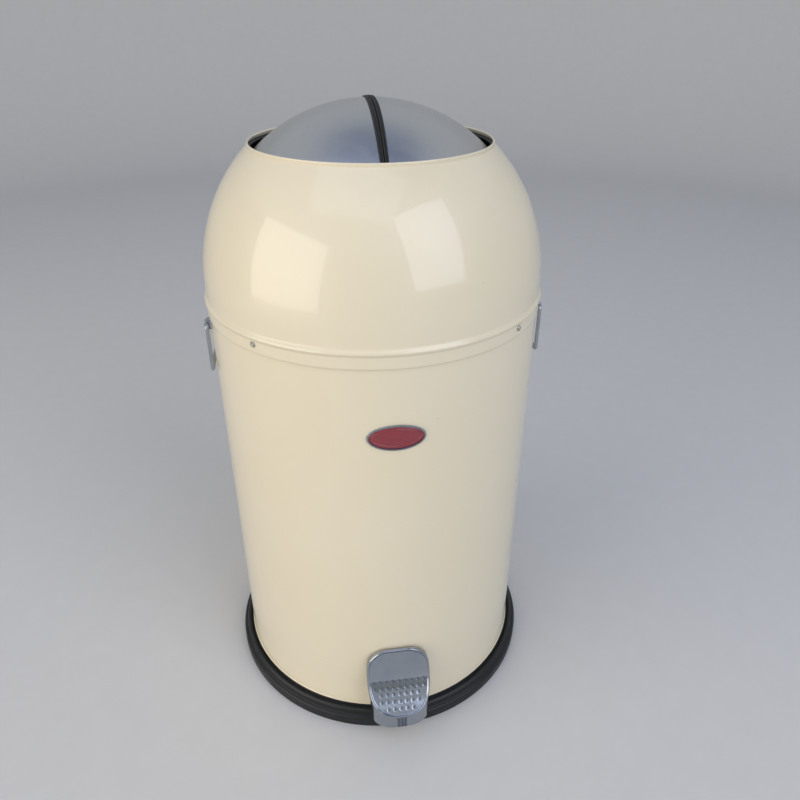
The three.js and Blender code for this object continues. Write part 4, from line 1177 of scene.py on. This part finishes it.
def ear_outline(side, tip_radius, has_crank):
    """Outline of a leaf's ear: hub, leaning arm with a spread tip, and the crank if it has one."""

    def spot(way, along, across):
        angle = math.radians(way)
        x = along * math.cos(angle) + across * math.sin(angle)
        z = along * math.sin(angle) - across * math.cos(angle)
        return (side * x, z)

    arm_way = 90 - lean_angle
    neck = min(42, tip_radius - 8)
    root = math.degrees(math.asin(arm_half_width / hub_radius))
    crank_way = 180 + crank_angle
    crank_root = math.degrees(math.asin(crank_half_width / hub_radius))
    arm = [(neck, arm_half_width), (tip_radius - 5, arm_tip_half_width), (tip_radius, arm_tip_half_width)]
    outline = [spot(arm_way, along, across) for along, across in arm]
    outline += [spot(arm_way, along, -across) for along, across in reversed(arm)]
    hub_start = arm_way + root
    hub_stop = arm_way - root + 360
    if has_crank:
        crank_stop = int(crank_way - crank_root)
        outline += [spot(way, hub_radius, 0) for way in range(round(hub_start), crank_stop, 8)]
        reach = crank_reach / math.cos(math.radians(crank_angle)) + 6
        crank = [(7, -crank_half_width), (reach - 2, -3.1), (reach, -1.6)]
        crank += [(reach, 2.5), (reach - 1.5, crank_half_width), (7, crank_half_width)]
        outline += [spot(crank_way, along, across) for along, across in crank]
        hub_start = crank_way + crank_root + 4
    outline += [spot(way, hub_radius, 0) for way in range(round(hub_start), int(hub_stop), 8)]
    return outline


for side_name, side in (("left", -1), ("right", 1)):
    body = f"leaf_{side_name}"
    make_piece(
        f"{side_name}_leaf_sheet", leaf_sheet(side), satin_steel, body, "satin_steel",
        f"{side_name}_leaf",
    )
    low, high = span(f"{side_name}_leaf_seal")
    seal_angle = math.asin(high.y / (leaf_radius + seal_proud))
    make_piece(
        f"{side_name}_seam_edging", seal_strip(side, seal_angle), black_rubber, body, "black_rubber",
        f"{side_name}_leaf_seal",
    )
    for end_name in ("rear", "front"):
        low, high = span(f"{side_name}_leaf_{end_name}_ear")
        far = max(abs(low.y), abs(high.y))
        tip = math.sqrt((leaf_radius - leaf_wall) ** 2 * 0.992 - far**2 - 81)
        ear = plate(ear_outline(side, tip, end_name == "rear"), high.y - low.y, 0.35, 2)
        moved(ear, STAND_ALONG_Y, Matrix.Translation((0, low.y, dome_z)))
        make_piece(
            f"{side_name}_{end_name}_ear_plate", ear, zinc_plate, body, "zinc_plate",
            f"{side_name}_leaf_{end_name}_ear",
        )

# ---------------------------------------------------------------- floor, light and camera
# A sheet of pale paper that curves up into a wall all round, a large warm panel on the left, cool
# panels on the right and above, a pale sky, and a camera that looks down on the bin's front.

floor_paper, tree, place, surface = start_material("pale_matt_paper")
fibre = add_node(tree, "TexNoise", {"Scale": 30, "Detail": 5}, {"Vector": place})
paper_tone = add_node(
    tree, "Mix", {"data_type": "RGBA", 6: linear("D3D3D0"), 7: linear("D8D8D6")}, {0: fibre}
)
set_node(surface, {"Roughness": 0.75}, {"Base Color": paper_tone.outputs[2]})

sweep = [(0, 0), (2.9, 0)]
sweep += [(across, up) for across, up in arc((2.9, 1), 1, -90, 0, 16)][1:]
sweep += [(3.9, 2.4)]
floor_mesh = bmesh.new()
points = [floor_mesh.verts.new((across, 0, up)) for across, up in sweep]
lines = [floor_mesh.edges.new(pair) for pair in zip(points, points[1:])]
turn = {"cent": (0, 0, 0), "axis": (0, 0, 1), "dvec": (0, 0, 0), "angle": math.tau}
bmesh.ops.spin(floor_mesh, geom=points + lines, steps=96, use_merge=True, **turn)
bmesh.ops.remove_doubles(floor_mesh, verts=floor_mesh.verts, dist=0.0001)
bmesh.ops.recalc_face_normals(floor_mesh, faces=floor_mesh.faces)
for face in floor_mesh.faces:
    face.smooth = True
floor_data = bpy.data.meshes.new("studio_floor")
floor_mesh.to_mesh(floor_data)
floor_mesh.free()
floor_data.materials.append(floor_paper)
floor = bpy.data.objects.new("studio_floor", floor_data)
bpy.context.scene.collection.objects.link(floor)


def add_light(name, place, aim, width, height, watts, colour):
    """A rectangular soft light that faces a point."""
    data = bpy.data.lights.new(name, "AREA")
    data.shape = "RECTANGLE"
    data.size, data.size_y = width, height
    data.energy = watts
    data.color = linear(colour)[:3]
    light = bpy.data.objects.new(name, data)
    light.location = place
    light.rotation_euler = (Vector(aim) - Vector(place)).to_track_quat("-Z", "Y").to_euler()
    light.visible_camera = False
    bpy.context.scene.collection.objects.link(light)


add_light("left_panel", (-2.3, -1.15, 1.0), (0, 0, 0.5), 2.4, 2.0, 34, "FFF4E6")
add_light("right_panel", (1.45, -2.0, 1.75), (0, 0, 0.5), 1.8, 2.4, 30, "E8EDFF")
add_light("top_panel", (-0.5, -1.0, 2.9), (0, 0, 0.5), 2.4, 1.6, 10, "E8EDFF")

world = bpy.data.worlds.new("studio_air")
world.use_nodes = True
world.node_tree.nodes.clear()
sky_way = add_node(world.node_tree, "TexCoord", {})
sky_height = add_node(world.node_tree, "SeparateXYZ", {}, {0: sky_way.outputs["Generated"]})
sky_stops = [(0.0, linear("E4E7EC")), (0.8, linear("E4E7EC"))]
sky_stops += [(0.93, linear("7C8CB4")), (1.0, linear("7080AA"))]
sky = add_node(world.node_tree, "ValToRGB", {"stops": sky_stops}, {0: sky_height.outputs[2]})
air = add_node(world.node_tree, "Background", {"Strength": 0.66}, {"Color": sky})
add_node(world.node_tree, "OutputWorld", {}, {"Surface": air})
bpy.context.scene.world = world
bpy.context.scene.view_settings.view_transform = "Standard"

camera_data = bpy.data.cameras.new("camera")
camera_data.lens = 31.42
camera_data.sensor_width = 36
camera = bpy.data.objects.new("camera", camera_data)
camera.location = (-0.0754, -0.7171, 0.7641)
camera.rotation_euler = (math.radians(90 - 30.165), 0, math.radians(-8.265))
bpy.context.scene.collection.objects.link(camera)
bpy.context.scene.camera = camera
